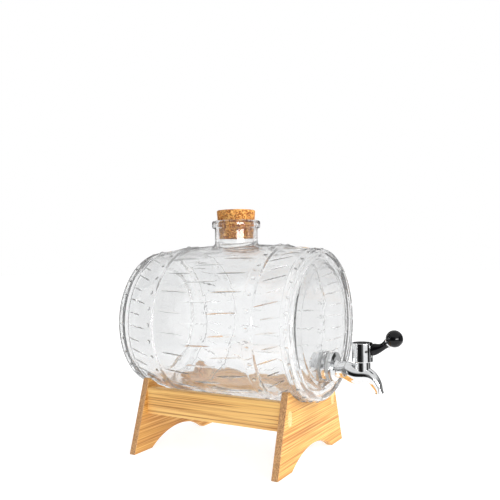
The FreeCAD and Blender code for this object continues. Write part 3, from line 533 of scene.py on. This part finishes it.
def new_group(name, inputs):
    """An empty Geometry Nodes group: (tree, its input node, its output node)."""
    tree = bpy.data.node_groups.new(name, "GeometryNodeTree")
    for label, kind, value in inputs:
        socket = tree.interface.new_socket(label, in_out="INPUT", socket_type=kind)
        if value is not None:
            socket.default_value = value
    tree.interface.new_socket("Geometry", in_out="OUTPUT", socket_type="NodeSocketGeometry")
    return tree, tree.nodes.new("NodeGroupInput"), tree.nodes.new("NodeGroupOutput")


def ring_group():
    """A group that sets copies of a bead round the barrel, every so many degrees."""
    tree, given, result = new_group(
        "ring_of_beads",
        [
            ("Count", "NodeSocketInt", 18),
            ("First Turn", "NodeSocketFloat", 0.0),
            ("Along", "NodeSocketFloat", 0.0),
            ("Along Jitter", "NodeSocketFloat", 0.0),
            ("Surface", "NodeSocketFloat", BELLY_RADIUS * MM),
            ("Size", "NodeSocketVector", (0.001, 0.001, 0.001)),
            ("Length Jitter", "NodeSocketFloat", 0.0),
            ("Slant", "NodeSocketFloat", 0.0),
            ("Slant Swing", "NodeSocketFloat", 0.0),
            ("Sides", "NodeSocketInt", 4),
            ("Keep Clear", "NodeSocketFloat", 0.0),
            ("Seed", "NodeSocketInt", 1),
        ],
    )
    value = given.outputs
    index = add_node(tree, "GeometryNodeInputIndex").outputs[0]

    def random(spread_socket, offset):
        """A random value from minus the socket's to plus it, for each point."""
        seed = calculate(tree, "ADD", value["Seed"], float(offset))
        made = add_node(tree, "FunctionNodeRandomValue", {"ID": index, "Seed": seed})
        made.inputs[2].default_value = -1.0
        made.inputs[3].default_value = 1.0
        return calculate(tree, "MULTIPLY", made.outputs[1], spread_socket)

    step = calculate(tree, "DIVIDE", 2 * math.pi, value["Count"])
    around = calculate(tree, "MULTIPLY_ADD", index, step, value["First Turn"])
    along = calculate(tree, "ADD", value["Along"], random(value["Along Jitter"], 0))
    x = calculate(tree, "MULTIPLY", calculate(tree, "SINE", around), value["Surface"])
    z = calculate(tree, "MULTIPLY", calculate(tree, "COSINE", around), value["Surface"])
    place = combine(tree, x, along, z)
    points = add_node(tree, "GeometryNodePoints", {"Count": value["Count"], "Position": place})

    size = add_node(tree, "ShaderNodeSeparateXYZ", {"Vector": value["Size"]})
    near_end = calculate(tree, "SUBTRACT", calculate(tree, "ABSOLUTE", along), size.outputs["Y"])
    clear_along = calculate(tree, "MAXIMUM", near_end, 0.0)
    near = calculate(tree, "LESS_THAN", length_of(tree, x, clear_along), value["Keep Clear"])
    above = calculate(tree, "GREATER_THAN", z, 0.0)
    hidden = calculate(tree, "MULTIPLY", near, above)
    dropped = {"Geometry": points.outputs[0], "Selection": hidden}
    kept = add_node(tree, "GeometryNodeDeleteGeometry", dropped)

    ball = {"Segments": value["Sides"], "Rings": BEAD_RINGS, "Radius": 1.0}
    bead = add_node(tree, "GeometryNodeMeshUVSphere", ball)
    on_its_side = {"Geometry": bead.outputs[0], "Rotation": (math.pi / 2, 0, 0)}
    laid = add_node(tree, "GeometryNodeTransform", on_its_side)
    longer = calculate(tree, "ADD", random(value["Length Jitter"], 1), 1.0)
    stretched = calculate(tree, "MULTIPLY", size.outputs["Y"], longer)
    scale = combine(tree, size.outputs["X"], stretched, size.outputs["Z"])
    turned = combine(tree, y=around)
    copies = add_node(
        tree,
        "GeometryNodeInstanceOnPoints",
        {"Points": kept.outputs[0], "Instance": laid.outputs[0], "Rotation": turned, "Scale": scale},
    )
    lean = calculate(tree, "ABSOLUTE", calculate(tree, "COSINE", around))
    lean = calculate(tree, "MULTIPLY_ADD", lean, value["Slant Swing"], value["Slant"])
    side = calculate(tree, "MULTIPLY", calculate(tree, "SINE", around), -3.0)
    side = calculate(tree, "MAXIMUM", calculate(tree, "MINIMUM", side, 1.0), -1.0)
    uneven = calculate(tree, "ADD", random(0.05, 2), 1.0)
    yaw = calculate(tree, "MULTIPLY", calculate(tree, "MULTIPLY", lean, side), uneven)
    leaning = {"Instances": copies.outputs[0], "Rotation": combine(tree, z=yaw)}
    swung = add_node(tree, "GeometryNodeRotateInstances", leaning)
    tree.links.new(swung.outputs[0], result.inputs[0])
    return tree


beads = ring_group()
print("bead group nodes:", len(beads.nodes))

# %% [markdown]
# Where the dashes go
#
# The staves are suggested by short raised dashes, as if grain had been cut with a knife. In the
# middle bay a row with one dash alternates with a row of two. In the outer bays long and short
# ones alternate, and they lean: towards each head the far end of a dash stands higher, more so
# near the top and the foot of the barrel.

# %% Rows of dashes
# Each row: its place along the barrel and half a dash's length in millimetres, how many go round,
# and the first one's turn, their lean and its swing in degrees.
BAY_ROWS = ((67.5, 10.4, 18, 8.5), (70.5, 7.2, 18, -1.5))
BAY_LEAN = 6.0
BAY_SWING = 33.0
GRAIN_ROWS = [
    (0.0, 16.8, 24, 3.0, 2.5, 0.0),
    (-27.0, 15.4, 24, 10.5, 4.0, 0.0),
    (27.0, 14.4, 24, 10.5, -4.0, 0.0),
]
for place, half, count, first in BAY_ROWS:
    GRAIN_ROWS.append((-place, half, count, first, BAY_LEAN, BAY_SWING))
    GRAIN_ROWS.append((place, half, count, first, -BAY_LEAN, -BAY_SWING))
print("dashes:", sum(row[2] for row in GRAIN_ROWS), "before those too near the neck are left out")

# %% [markdown]
# One tree for the whole glass
#
# This group calls the ring group once for each row of dashes and each hoop's rivets. It bends the
# beads to the staves' arc, welds neck, boss and beads to the shell, and cuts the hollows. An edge
# sharper than the crease angle stays sharp, so that smooth shading doesn't smear over it.

# %% Glass tree
GRAIN_JITTER = 1.6
GRAIN_SINK = 0.05
NECK_CLEARANCE = 6
RIVET_TURN = 6.5
CREASE_ANGLE = math.radians(32)


def glass_tree():
    """The group that joins, bends, welds and cuts the glass."""
    tree, given, result = new_group(
        "pressed_glass",
        [
            ("Shell", "NodeSocketGeometry", None),
            ("Grain Width", "NodeSocketFloat", GRAIN_WIDTH * MM),
            ("Grain Height", "NodeSocketFloat", GRAIN_HEIGHT * MM),
            ("Rivets", "NodeSocketInt", RIVETS),
            ("Rivet Radius", "NodeSocketFloat", RIVET_RADIUS * MM),
            ("Glass", "NodeSocketMaterial", None),
        ],
    )
    value = given.outputs
    joined = add_node(tree, "GeometryNodeJoinGeometry")

    def ring(**settings):
        """Add one ring of beads. A setting's name is its socket's, in small letters."""
        made = add_node(tree, "GeometryNodeGroup", node_tree=beads)
        for key, content in settings.items():
            key = key.replace("_", " ").title()
            if isinstance(content, bpy.types.NodeSocket):
                tree.links.new(content, made.inputs[key])
            else:
                made.inputs[key].default_value = content
        tree.links.new(made.outputs[0], joined.inputs[0])

    half_width = calculate(tree, "DIVIDE", value["Grain Width"], 2.0)
    for seed, (along, half, count, first, lean, swing) in enumerate(GRAIN_ROWS, start=3):
        size = combine(tree, half_width, half * MM, value["Grain Height"])
        ring(
            count=count, first_turn=math.radians(first), along=along * MM, along_jitter=GRAIN_JITTER * MM,
            surface=(BELLY_RADIUS - GRAIN_SINK) * MM, size=size, length_jitter=0.1,
            slant=math.radians(lean), slant_swing=math.radians(swing),
            keep_clear=(NECK_RADIUS + NECK_CLEARANCE) * MM, seed=seed,
        )
    rivet = combine(tree, value["Rivet Radius"], value["Rivet Radius"], RIVET_HEIGHT * MM)
    for side in (-1, 1):
        for start in (INNER_HOOP, OUTER_HOOP):
            ring(
                count=value["Rivets"], first_turn=math.radians(RIVET_TURN),
                along=side * (start + HOOP_WIDTH / 2) * MM,
                surface=(BELLY_RADIUS + HOOP_RAISE) * MM, size=rivet, sides=16, seed=1,
            )

    solid = add_node(tree, "GeometryNodeRealizeInstances", {"Geometry": joined.outputs[0]})
    place = add_node(tree, "GeometryNodeInputPosition").outputs[0]
    parts = add_node(tree, "ShaderNodeSeparateXYZ", {"Vector": place})
    x, y, z = (parts.outputs[axis] for axis in "XYZ")
    radius = length_of(tree, x, z)
    left = calculate(tree, "SUBTRACT", (STAVE_ARC * MM) ** 2, calculate(tree, "POWER", y, 2.0))
    drop = calculate(tree, "SUBTRACT", STAVE_ARC * MM, calculate(tree, "SQRT", left))
    share = calculate(tree, "DIVIDE", calculate(tree, "SUBTRACT", radius, drop), radius)
    bent_x = calculate(tree, "MULTIPLY", x, share)
    bent = combine(tree, bent_x, y, calculate(tree, "MULTIPLY", z, share))
    relief = add_node(tree, "GeometryNodeSetPosition", {"Geometry": solid.outputs[0], "Position": bent})

    def from_object(thing):
        """Another object's mesh, as a socket."""
        info = add_node(tree, "GeometryNodeObjectInfo", {"Object": thing})
        return info.outputs["Geometry"]

    def boolean(operation, first, others):
        """Weld the others to the first mesh, or cut them from it."""
        made = add_node(tree, "GeometryNodeMeshBoolean", operation=operation, solver="MANIFOLD")
        if operation == "DIFFERENCE":
            tree.links.new(first, made.inputs[0])
        else:
            others = [first, *others]
        for other in others:
            tree.links.new(other, made.inputs[1])
        return made.outputs[0]

    added = [from_object(neck_shell), from_object(boss_shell), relief.outputs[0]]
    outside = boolean("UNION", value["Shell"], added)
    holes = [from_object(socket_shell), from_object(hole_shell)]
    hollow = boolean("UNION", from_object(bore_shell), holes)
    whole = boolean("DIFFERENCE", outside, [hollow])
    sharp = add_node(tree, "GeometryNodeInputMeshEdgeAngle").outputs[0]
    crease = calculate(tree, "GREATER_THAN", sharp, CREASE_ANGLE)
    all_faces = {"Geometry": whole, "Shade Smooth": True}
    smooth = add_node(tree, "GeometryNodeSetShadeSmooth", all_faces, domain="FACE")
    sharp_edges = {"Geometry": smooth.outputs[0], "Selection": crease, "Shade Smooth": False}
    creased = add_node(tree, "GeometryNodeSetShadeSmooth", sharp_edges, domain="EDGE")
    realized = add_node(tree, "GeometryNodeRealizeInstances", {"Geometry": creased.outputs[0]})
    painted = {"Geometry": realized.outputs[0], "Material": value["Glass"]}
    finished = add_node(tree, "GeometryNodeSetMaterial", painted)
    tree.links.new(finished.outputs[0], result.inputs[0])
    return tree


# %% [markdown]
# Glass
#
# Soda glass: index 1.5, a faint blue-grey tint and no roughness. A slow bump stands for the
# unevenness of a moulded surface. The alpha is a little under 1, which real glass doesn't need. It
# softens the black lines where the renderer stops following mirrored rays, and it lets light reach
# the cork in the neck.

# %% Glass material
GLASS_TINT = (0.985, 0.99, 0.992, 1)
GLASS_INDEX = 1.5
GLASS_ALPHA = 0.91
SWIRL_SCALE = 70.0
SWIRL_DEPTH = 0.0004
glass, tree, shader = blank_material("pressed_glass")
shader.inputs["Base Color"].default_value = GLASS_TINT
shader.inputs["Roughness"].default_value = 0.0
shader.inputs["IOR"].default_value = GLASS_INDEX
shader.inputs["Transmission Weight"].default_value = 1.0
shader.inputs["Alpha"].default_value = GLASS_ALPHA
swirl = noise_value(tree, object_place(tree), SWIRL_SCALE, detail=2.0, distortion=0.6)
tree.links.new(bump(tree, swirl, SWIRL_DEPTH, 0.35), shader.inputs["Normal"])
print("glass: index", GLASS_INDEX, "alpha", GLASS_ALPHA)

# %% [markdown]
# From nodes to a plain mesh
#
# A modifier runs the tree, the result is copied to a mesh of its own, and the modifier goes. Its
# inputs are set by their identifiers, because a label may be used twice. The shells were only
# tools, so they're removed, and the glass takes the place of three CAD nodes.


# %% Apply the glass tree
def applied(thing, tree, settings, name):
    """Run a Geometry Nodes tree on an object and keep the result as a plain mesh."""
    modifier = thing.modifiers.new("nodes", "NODES")
    modifier.node_group = tree
    sockets = {item.name: item.identifier for item in tree.interface.items_tree if item.in_out == "INPUT"}
    for label, content in settings.items():
        modifier[sockets[label]] = content
    graph = bpy.context.evaluated_depsgraph_get()
    mesh = bpy.data.meshes.new_from_object(thing.evaluated_get(graph))
    thing.modifiers.remove(modifier)
    mesh.name = name
    made = bpy.data.objects.new(name, mesh)
    bpy.context.scene.collection.objects.link(made)
    return made


barrel_glass = applied(barrel_shell, glass_tree(), {"Glass": glass}, "barrel_glass")
barrel_glass.data.transform(Matrix.Translation(barrel_middle))
for shell in (barrel_shell, bore_shell, neck_shell, socket_shell, boss_shell, hole_shell):
    bpy.data.objects.remove(shell)
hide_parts("glass_barrel", "glass_rear", "glass_neck")
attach(barrel_glass, "barrel")
barrel_glass.data.calc_loop_triangles()
print("glass:", len(barrel_glass.data.loop_triangles), "triangles")

# %% [markdown]
# Cork
#
# Ground cork pressed into a tapered stopper: grains of several browns, dark specks of bark and
# open pores. The pores are real dents in the mesh, and the grains are cells in the material.

# %% Cork shape
cork_low, cork_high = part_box("cork_stopper")
CORK_LENGTH = (cork_high.z - cork_low.z) / MM
CORK_TOP_RADIUS = 18.43
CORK_LOW_RADIUS = 16.2
CORK_EDGE = 0.8
CORK_SEGMENTS = 260
PORE_DEPTH = 0.55


def pored(place):
    """Dent a place where the noise says that a grain has fallen out."""
    spot = noise.noise(place / 1.1)
    fine = noise.noise(place / 0.45)
    dent = max(spot - 0.28, 0.0) * 2.2 + max(fine - 0.35, 0.0) * 0.5
    flat = Vector((place.x, place.y, 0))
    inward = -flat.normalized() if flat.length > CORK_LOW_RADIUS - 1.5 else Vector((0, 0, 0))
    if place.z > CORK_LENGTH - CORK_EDGE * 0.5:
        inward = inward * 0.4 + Vector((0, 0, -1))
    return place + inward * min(dent, 1.0) * PORE_DEPTH


def cork_profile():
    """From the bottom's centre to the top's."""
    side_top = CORK_LENGTH - CORK_EDGE
    points = [(0.0, radius) for radius in np.linspace(0, CORK_LOW_RADIUS - CORK_EDGE, 8)]
    for height in np.linspace(CORK_EDGE, side_top, 70):
        share = height / CORK_LENGTH
        points.append((height, CORK_LOW_RADIUS + (CORK_TOP_RADIUS - CORK_LOW_RADIUS) * share))
    points += [(CORK_LENGTH, radius) for radius in np.linspace(CORK_TOP_RADIUS - CORK_EDGE, 0, 44)]
    return points


cork = lathe("cork", cork_profile(), CORK_SEGMENTS, axis="Z", shape=pored)
cork_foot = (cork_low + cork_high) / 2
cork_foot.z = cork_low.z
cork.data.transform(Matrix.Translation(cork_foot))
print("cork:", len(cork.data.polygons), "faces")

# %% [markdown]
# Cork colours
#
# Voronoi cells give each grain one brown, taken from a ramp. Two noises go over them: dark specks
# of bark, and a few pale flakes.

# %% Cork material
cork_material, tree, shader = blank_material("agglomerated_cork")
place = object_place(tree, scale=1 / MM)
cells = add_node(tree, "ShaderNodeTexVoronoi", {"Vector": place, "Scale": 1.15, "Randomness": 1.0})
grey = add_node(tree, "ShaderNodeSeparateColor", {"Color": cells.outputs["Color"]}).outputs[0]
base = ramp(
    tree, grey,
    (0.2, (0.22, 0.05, 0.01)),
    (0.4, (0.55, 0.17, 0.025)),
    (0.55, (0.82, 0.32, 0.06)),
    (0.8, (1.0, 0.56, 0.16)),
)
specks = noise_value(tree, place, 1.25, detail=3.0, roughness=0.6)
dark = ramp(tree, specks, (0.42, (1, 1, 1)), (0.47, (0, 0, 0)))
base = mix_colours(tree, calculate(tree, "MULTIPLY", dark, 0.85), base, (0.16, 0.035, 0.008, 1))
pale = ramp(tree, noise_value(tree, place, 1.3, detail=2.0), (0.66, (0, 0, 0)), (0.74, (1, 1, 1)))
base = mix_colours(tree, calculate(tree, "MULTIPLY", pale, 0.4), base, (0.95, 0.53, 0.18, 1))
tree.links.new(base, shader.inputs["Base Color"])
tree.links.new(spread(tree, specks, 0.3, 0.7, 0.92, 0.7), shader.inputs["Roughness"])
tree.links.new(bump(tree, specks, 0.0004, 0.6), shader.inputs["Normal"])
cork.data.materials.append(cork_material)
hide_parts("cork_stopper")
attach(cork, "cork")
print("cork stands for cork_stopper")

# %% [markdown]
# Bamboo
#
# Laminated bamboo is strips glued side by side. Each strip has its own tint, and fine fibres, dark
# and pale, run along it. Where a board is cut across, the fibres' ends show as small dots. On the
# leg panels the strips run across, and on the rails along, so the same recipe is turned for each.
# The rails' tints are lighter. This is partly their own greyer tan, and partly painted light that
# makes up for the weaker light on their sides.


# %% Bamboo material
FIBRES_ALONG = 9.0
FIBRES_ACROSS = 850.0
PANEL_STRIP = 0.0062
RAIL_STRIP = 0.0081


def bamboo(name, along, strip, light, deep, ends):
    """Strips along an axis, 0 for X or 1 for Y, each so many metres high."""
    material, tree, shader = blank_material(name)
    place = add_node(tree, "ShaderNodeTexCoord").outputs["Object"]
    axes = add_node(tree, "ShaderNodeSeparateXYZ", {"Vector": place})
    run = axes.outputs[along]
    thick = axes.outputs[1 - along]
    height = axes.outputs["Z"]

    strip_row = calculate(tree, "FLOOR", calculate(tree, "DIVIDE", height, strip))
    tint = add_node(tree, "ShaderNodeTexWhiteNoise", {"W": strip_row}, noise_dimensions="1D")
    tint = tint.outputs["Value"]

    def times(value, number):
        """A socket times a number."""
        return calculate(tree, "MULTIPLY", value, number)

    shifted = calculate(tree, "MULTIPLY_ADD", run, FIBRES_ALONG, times(strip_row, 3.7))
    stretched = combine(tree, shifted, times(thick, FIBRES_ACROSS), times(height, FIBRES_ACROSS))
    fibres = noise_value(tree, stretched, 1.0, detail=3.0, roughness=0.55, distortion=0.1)
    broad = combine(tree, times(run, 6.0), times(thick, 60.0), times(height, 90.0))
    cloud = noise_value(tree, broad, 1.0, detail=3.0, distortion=0.5)

    base = mix_colours(tree, spread(tree, cloud, 0.3, 0.7, 0.0, 1.0), (*deep, 1), (*light, 1))
    base = mix_colours(tree, spread(tree, tint, 0.0, 1.0, 0.0, 0.35), base, (0.90, 0.52, 0.13, 1))
    lines = ramp(tree, fibres, (0.36, (1, 1, 1)), (0.49, (0, 0, 0)))
    base = mix_colours(tree, times(lines, 0.8), base, (0.42, 0.15, 0.028, 1))
    gleam = ramp(tree, fibres, (0.52, (0, 0, 0)), (0.64, (1, 1, 1)))
    base = mix_colours(tree, times(gleam, 0.75), base, (0.97, 0.64, 0.22, 1))

    facing = add_node(tree, "ShaderNodeNewGeometry").outputs["True Normal"]
    facing = add_node(tree, "ShaderNodeSeparateXYZ", {"Vector": facing}).outputs[along]
    end_grain = spread(tree, calculate(tree, "ABSOLUTE", facing), 0.55, 0.8, 0.0, 1.0)
    pores = noise_value(tree, place, 900.0, detail=3.0, roughness=0.7)
    end_colour = ramp(tree, pores, (0.3, ends[0]), (0.55, ends[1]), (0.75, ends[2]))
    base = mix_colours(tree, end_grain, base, end_colour)
    tree.links.new(base, shader.inputs["Base Color"])
    tree.links.new(spread(tree, fibres, 0.3, 0.7, 0.52, 0.36), shader.inputs["Roughness"])
    tree.links.new(bump(tree, fibres, 0.00012, 0.8), shader.inputs["Normal"])
    return material


def finish_node(name, material):
    """Give a CAD node a material on its own slot."""
    thing = nodes[name]
    if not thing.material_slots:
        thing.data.materials.append(material)
    for slot in thing.material_slots:
        slot.link = "OBJECT"
        slot.material = material


burnt_ends = ((0.26, 0.12, 0.045), (0.62, 0.34, 0.15), (0.85, 0.56, 0.30))
pale_ends = ((0.55, 0.32, 0.1), (0.86, 0.58, 0.24), (0.95, 0.72, 0.4))
panel_tints = ((0.74, 0.36, 0.075), (0.56, 0.22, 0.032))
# The rails' tints are partly painted light: lighter than the panels' to make up for the shade the rails
# stand in.
rail_tints_painted_lighter = ((0.98, 0.60, 0.21), (0.84, 0.46, 0.14))
panel_bamboo = bamboo("bamboo_across", 0, PANEL_STRIP, *panel_tints, burnt_ends)
rail_bamboo = bamboo("bamboo_along", 1, RAIL_STRIP, *rail_tints_painted_lighter, pale_ends)
for name in ("front_leg_panel", "rear_leg_panel"):
    finish_node(name, panel_bamboo)
for name in ("left_rail", "right_rail"):
    finish_node(name, rail_bamboo)
print("bamboo:", panel_bamboo.name, "on the leg panels and", rail_bamboo.name, "on the rails")

# %% [markdown]
# Chrome, black moulding and small parts
#
# Chrome is a mirror with a hint of haze from handling. The lever and knob are one glossy black,
# and most of what sits inside is plain steel, silicone and white acetal.


# %% Metal and plastic materials
POLISH_DEPTH = 0.00002


def polished(name, colour, metallic, roughness, haze, grain=400.0, index=1.5):
    """A smooth finish whose roughness wanders a little."""
    material, tree, shader = blank_material(name)
    shader.inputs["Metallic"].default_value = metallic
    shader.inputs["IOR"].default_value = index
    place = object_place(tree)
    value = noise_value(tree, place, grain, detail=4.0)
    dark = tuple(channel * 0.86 for channel in colour)
    base = mix_colours(tree, spread(tree, value, 0.3, 0.7, 0.0, 1.0), (*dark, 1), (*colour, 1))
    tree.links.new(base, shader.inputs["Base Color"])
    tree.links.new(spread(tree, value, 0.3, 0.7, roughness, roughness + haze), shader.inputs["Roughness"])
    tree.links.new(bump(tree, value, POLISH_DEPTH, 0.3), shader.inputs["Normal"])
    return material


chrome = polished("chrome_plate", (0.86, 0.87, 0.88), 1.0, 0.03, 0.05)
steel = polished("turned_steel", (0.56, 0.55, 0.53), 1.0, 0.22, 0.15, grain=900.0)
black = polished("black_moulding", (0.004, 0.004, 0.005), 0.0, 0.05, 0.04, index=1.36)
silicone = polished("silicone", (0.62, 0.63, 0.63), 0.0, 0.4, 0.15)
acetal = polished("acetal", (0.8, 0.8, 0.78), 0.0, 0.35, 0.1)
finishes = {
    "tap_body": chrome, "tap_bonnet": chrome, "knob_ring": chrome, "shank_nut": chrome,
    "tap_lever": black, "lever_knob": black, "lever_pin": steel, "valve_stem": steel,
    "stem_nut": steel, "return_spring": steel, "outer_gasket": silicone, "inner_gasket": silicone,
    "valve_plug": silicone, "stem_o_ring": silicone, "stem_guide": acetal,
}
for name, material in finishes.items():
    finish_node(name, material)
print("finished CAD nodes:", len(finishes), "and the four boards")

# %% [markdown]
# Cards round the object
#
# Chrome and glass show their shape only against something darker. A ring of upright cards, white,
# grey and black, stands round the object for mirrored rays alone. Its stops are degrees to the
# right of the camera, as seen from the object, with each card's brightness. A low strip light
# among them is far brighter, for the hard gleams on the tap and the glass.

# %% Ring of cards
CARDS = [
    (-180, 0.05), (-145, 0.06), (-132, 0.9), (-104, 1.0), (-97, 0.24), (-64, 0.22), (-57, 0.01),
    (-20, 0.01), (-12, 0.12), (0, 0.2), (3, 1.0), (44, 1.0), (50, 0.15), (56, 0.01), (69, 0.01),
    (75, 0.38), (95, 0.36), (102, 0.04), (118, 0.04), (126, 0.5), (146, 0.45), (160, 0.05), (180, 0.05),
]
STRIP_LIGHT = (3, 40)
STRIP_RISE = 0.14
STRIP_GLOW = (22, 22, 22, 1)


def way_round(tree, direction):
    """The turn from the camera to a direction, in radians, positive to the right."""
    shares = []
    for way in (right, Vector((back.x, back.y, 0)).normalized()):
        dot = add_node(tree, "ShaderNodeVectorMath", {0: direction, 1: way}, operation="DOT_PRODUCT")
        shares.append(dot.outputs["Value"])
    return calculate(tree, "ARCTAN2", *shares)


def ring_of_cards(tree, direction):
    """The brightness of the card that stands in a direction."""
    share = spread(tree, way_round(tree, direction), -math.pi, math.pi, 0.0, 1.0)
    stops = [((degrees + 180) / 360, (light, light, light)) for degrees, light in CARDS]
    return ramp(tree, share, *stops)


def strip_light(tree, direction):
    """1 where the bright strip light stands, 0 elsewhere."""
    start, end = (math.radians(degrees) for degrees in STRIP_LIGHT)
    around = way_round(tree, direction)
    after = calculate(tree, "GREATER_THAN", around, start)
    return calculate(tree, "MULTIPLY", after, calculate(tree, "LESS_THAN", around, end))


print("cards:", len(CARDS), "stops, strip light from", *STRIP_LIGHT, "degrees")

# %% [markdown]
# Light
#
# One world serves four kinds of ray. The camera sees white. Glass lets through a pale backdrop
# with a narrow dark band high up, so only relief that is steep enough to bend a ray into the band,
# such as a grain dash, draws a line. Mirrors see the cards, the strip light near the horizon and a
# pale ceiling. Matt surfaces get light that is stronger from the front right. Once a ray has left
# a matt surface, it sees that soft light too, whatever kind of ray it has become.

# %% World
scene = bpy.context.scene
scene.view_settings.view_transform = "Standard"
world = bpy.data.worlds.new("studio")
scene.world = world
world.use_nodes = True
tree = world.node_tree
tree.nodes.clear()
direction = add_node(tree, "ShaderNodeTexCoord").outputs["Generated"]
rise = add_node(tree, "ShaderNodeSeparateXYZ", {"Vector": direction}).outputs["Z"]
path = add_node(tree, "ShaderNodeLightPath").outputs


def backdrop(colour, strength):
    """A background of one brightness, or of a pattern."""
    return add_node(tree, "ShaderNodeBackground", {"Color": colour, "Strength": strength}).outputs[0]


def chosen(kind, otherwise, shown):
    """What one kind of ray sees, and what the others do."""
    made = add_node(tree, "ShaderNodeMixShader", {0: path[kind], 1: otherwise, 2: shown})
    return made.outputs[0]


DARK_BAND = (0.05, 0.045, 0.045)
CEILING = (0.85, 0.85, 0.85, 1)
LIGHT_WAY = (right * 0.8 + back * 0.4 + Vector((0, 0, 0.5))).normalized()
towards = add_node(tree, "ShaderNodeVectorMath", {0: direction, 1: LIGHT_WAY}, operation="DOT_PRODUCT")
level = spread(tree, towards.outputs["Value"], -0.45, 0.25, 0.02, 1.12)
behind_glass = calculate(tree, "MULTIPLY_ADD", path["Is Transmission Ray"], 1.1, 1.0)
soft = backdrop((1, 1, 1, 1), calculate(tree, "MULTIPLY", level, behind_glass))
through = ramp(
    tree, rise,
    (0.0, (0.86, 0.867, 0.872)),
    (0.48, (0.93, 0.93, 0.93)),
    (0.55, DARK_BAND),
    (0.63, DARK_BAND),
    (0.7, (1.1, 1.1, 1.1)),
)
mirrored = ring_of_cards(tree, direction)
low = calculate(tree, "LESS_THAN", calculate(tree, "ABSOLUTE", rise), STRIP_RISE)
in_strip = calculate(tree, "MULTIPLY", low, strip_light(tree, direction))
mirrored = mix_colours(tree, in_strip, mirrored, STRIP_GLOW)
mirrored = mix_colours(tree, spread(tree, rise, 0.35, 0.6, 0.0, 1.0), mirrored, CEILING)
light = chosen("Is Camera Ray", soft, backdrop((1, 1, 1, 1), 1.0))
light = chosen("Is Glossy Ray", light, backdrop(mirrored, 1.0))
light = chosen("Is Transmission Ray", light, backdrop(through, 1.0))
after_matt = calculate(tree, "GREATER_THAN", path["Diffuse Depth"], 0.5)
light = add_node(tree, "ShaderNodeMixShader", {0: after_matt, 1: light, 2: soft}).outputs[0]
add_node(tree, "ShaderNodeOutputWorld", {"Surface": light})
print("world nodes:", len(tree.nodes))

# %% [markdown]
# One lamp
#
# The world's light comes from a wide stretch of sky and leaves only faint shadows. One large soft
# lamp stands where that light is strongest and makes them clearer. Mirrored rays and rays through
# glass don't see it, because they have a world of their own.


# %% Lamps
KEY_DISTANCE = 1.1
KEY_SIZE = (0.5, 0.5)
KEY_POWER = 8.0


def soft_lamp(name, place, target, size, power):
    """A large area lamp that faces a point and isn't seen in mirrors."""
    data = bpy.data.lights.new(name, "AREA")
    data.shape = "RECTANGLE"
    data.size, data.size_y = size
    data.energy = power
    made = bpy.data.objects.new(name, data)
    made.location = place
    aim = Vector(target) - Vector(place)
    made.rotation_euler = aim.to_track_quat("-Z", "Y").to_euler()
    made.visible_glossy = False
    made.visible_transmission = False
    scene.collection.objects.link(made)


middle = Vector((0, 0, 0.1))
key_place = middle + LIGHT_WAY * KEY_DISTANCE
soft_lamp("key", key_place, middle, KEY_SIZE, KEY_POWER)
print("key lamp at", [round(value, 2) for value in key_place])

# %% [markdown]
# Floor
#
# The floor is white mostly by its own glow, and still takes a soft shadow. Further out, mirrored
# rays see the cards in its place, so that chrome and glass have dark edges low down as well.

# %% Floor
FLOOR_HALF = 8.0
FLOOR_GLOW = 0.78
FLOOR_DIM = -0.18
CARDS_FROM = (0.26, 0.4)
floor = mesh_object(
    "floor",
    [(x * FLOOR_HALF / MM, y * FLOOR_HALF / MM, 0) for x, y in ((-1, -1), (1, -1), (1, 1), (-1, 1))],
    [(0, 1, 2, 3)],
)
floor_paint, tree, shader = blank_material("white_floor")
shader.inputs["Base Color"].default_value = (0.4, 0.4, 0.4, 1)
shader.inputs["Roughness"].default_value = 1.0
shader.inputs["Specular IOR Level"].default_value = 0.0
shader.inputs["Emission Color"].default_value = (1, 1, 1, 1)
place = add_node(tree, "ShaderNodeTexCoord").outputs["Object"]
from_tap = add_node(tree, "ShaderNodeVectorMath", {0: place, 1: (0, 0.09, 0)}, operation="ADD").outputs[0]
distance = add_node(tree, "ShaderNodeVectorMath", {0: from_tap}, operation="LENGTH").outputs["Value"]
card_glow = add_node(tree, "ShaderNodeEmission", {"Color": ring_of_cards(tree, from_tap), "Strength": 1.0})
path = add_node(tree, "ShaderNodeLightPath").outputs
glow = calculate(tree, "MULTIPLY_ADD", path["Is Transmission Ray"], FLOOR_DIM, FLOOR_GLOW)
tree.links.new(glow, shader.inputs["Emission Strength"])
glossy = calculate(tree, "SUBTRACT", path["Is Glossy Ray"], path["Is Transmission Ray"])
far = calculate(tree, "MULTIPLY", glossy, spread(tree, distance, *CARDS_FROM, 0.0, 1.0))
shown = add_node(tree, "ShaderNodeMixShader", {0: far, 1: shader.outputs[0], 2: card_glow.outputs[0]})
output = next(item for item in tree.nodes if item.bl_idname == "ShaderNodeOutputMaterial")
tree.links.new(shown.outputs[0], output.inputs["Surface"])
floor.data.materials.append(floor_paint)
print("floor:", 2 * FLOOR_HALF, "m wide")
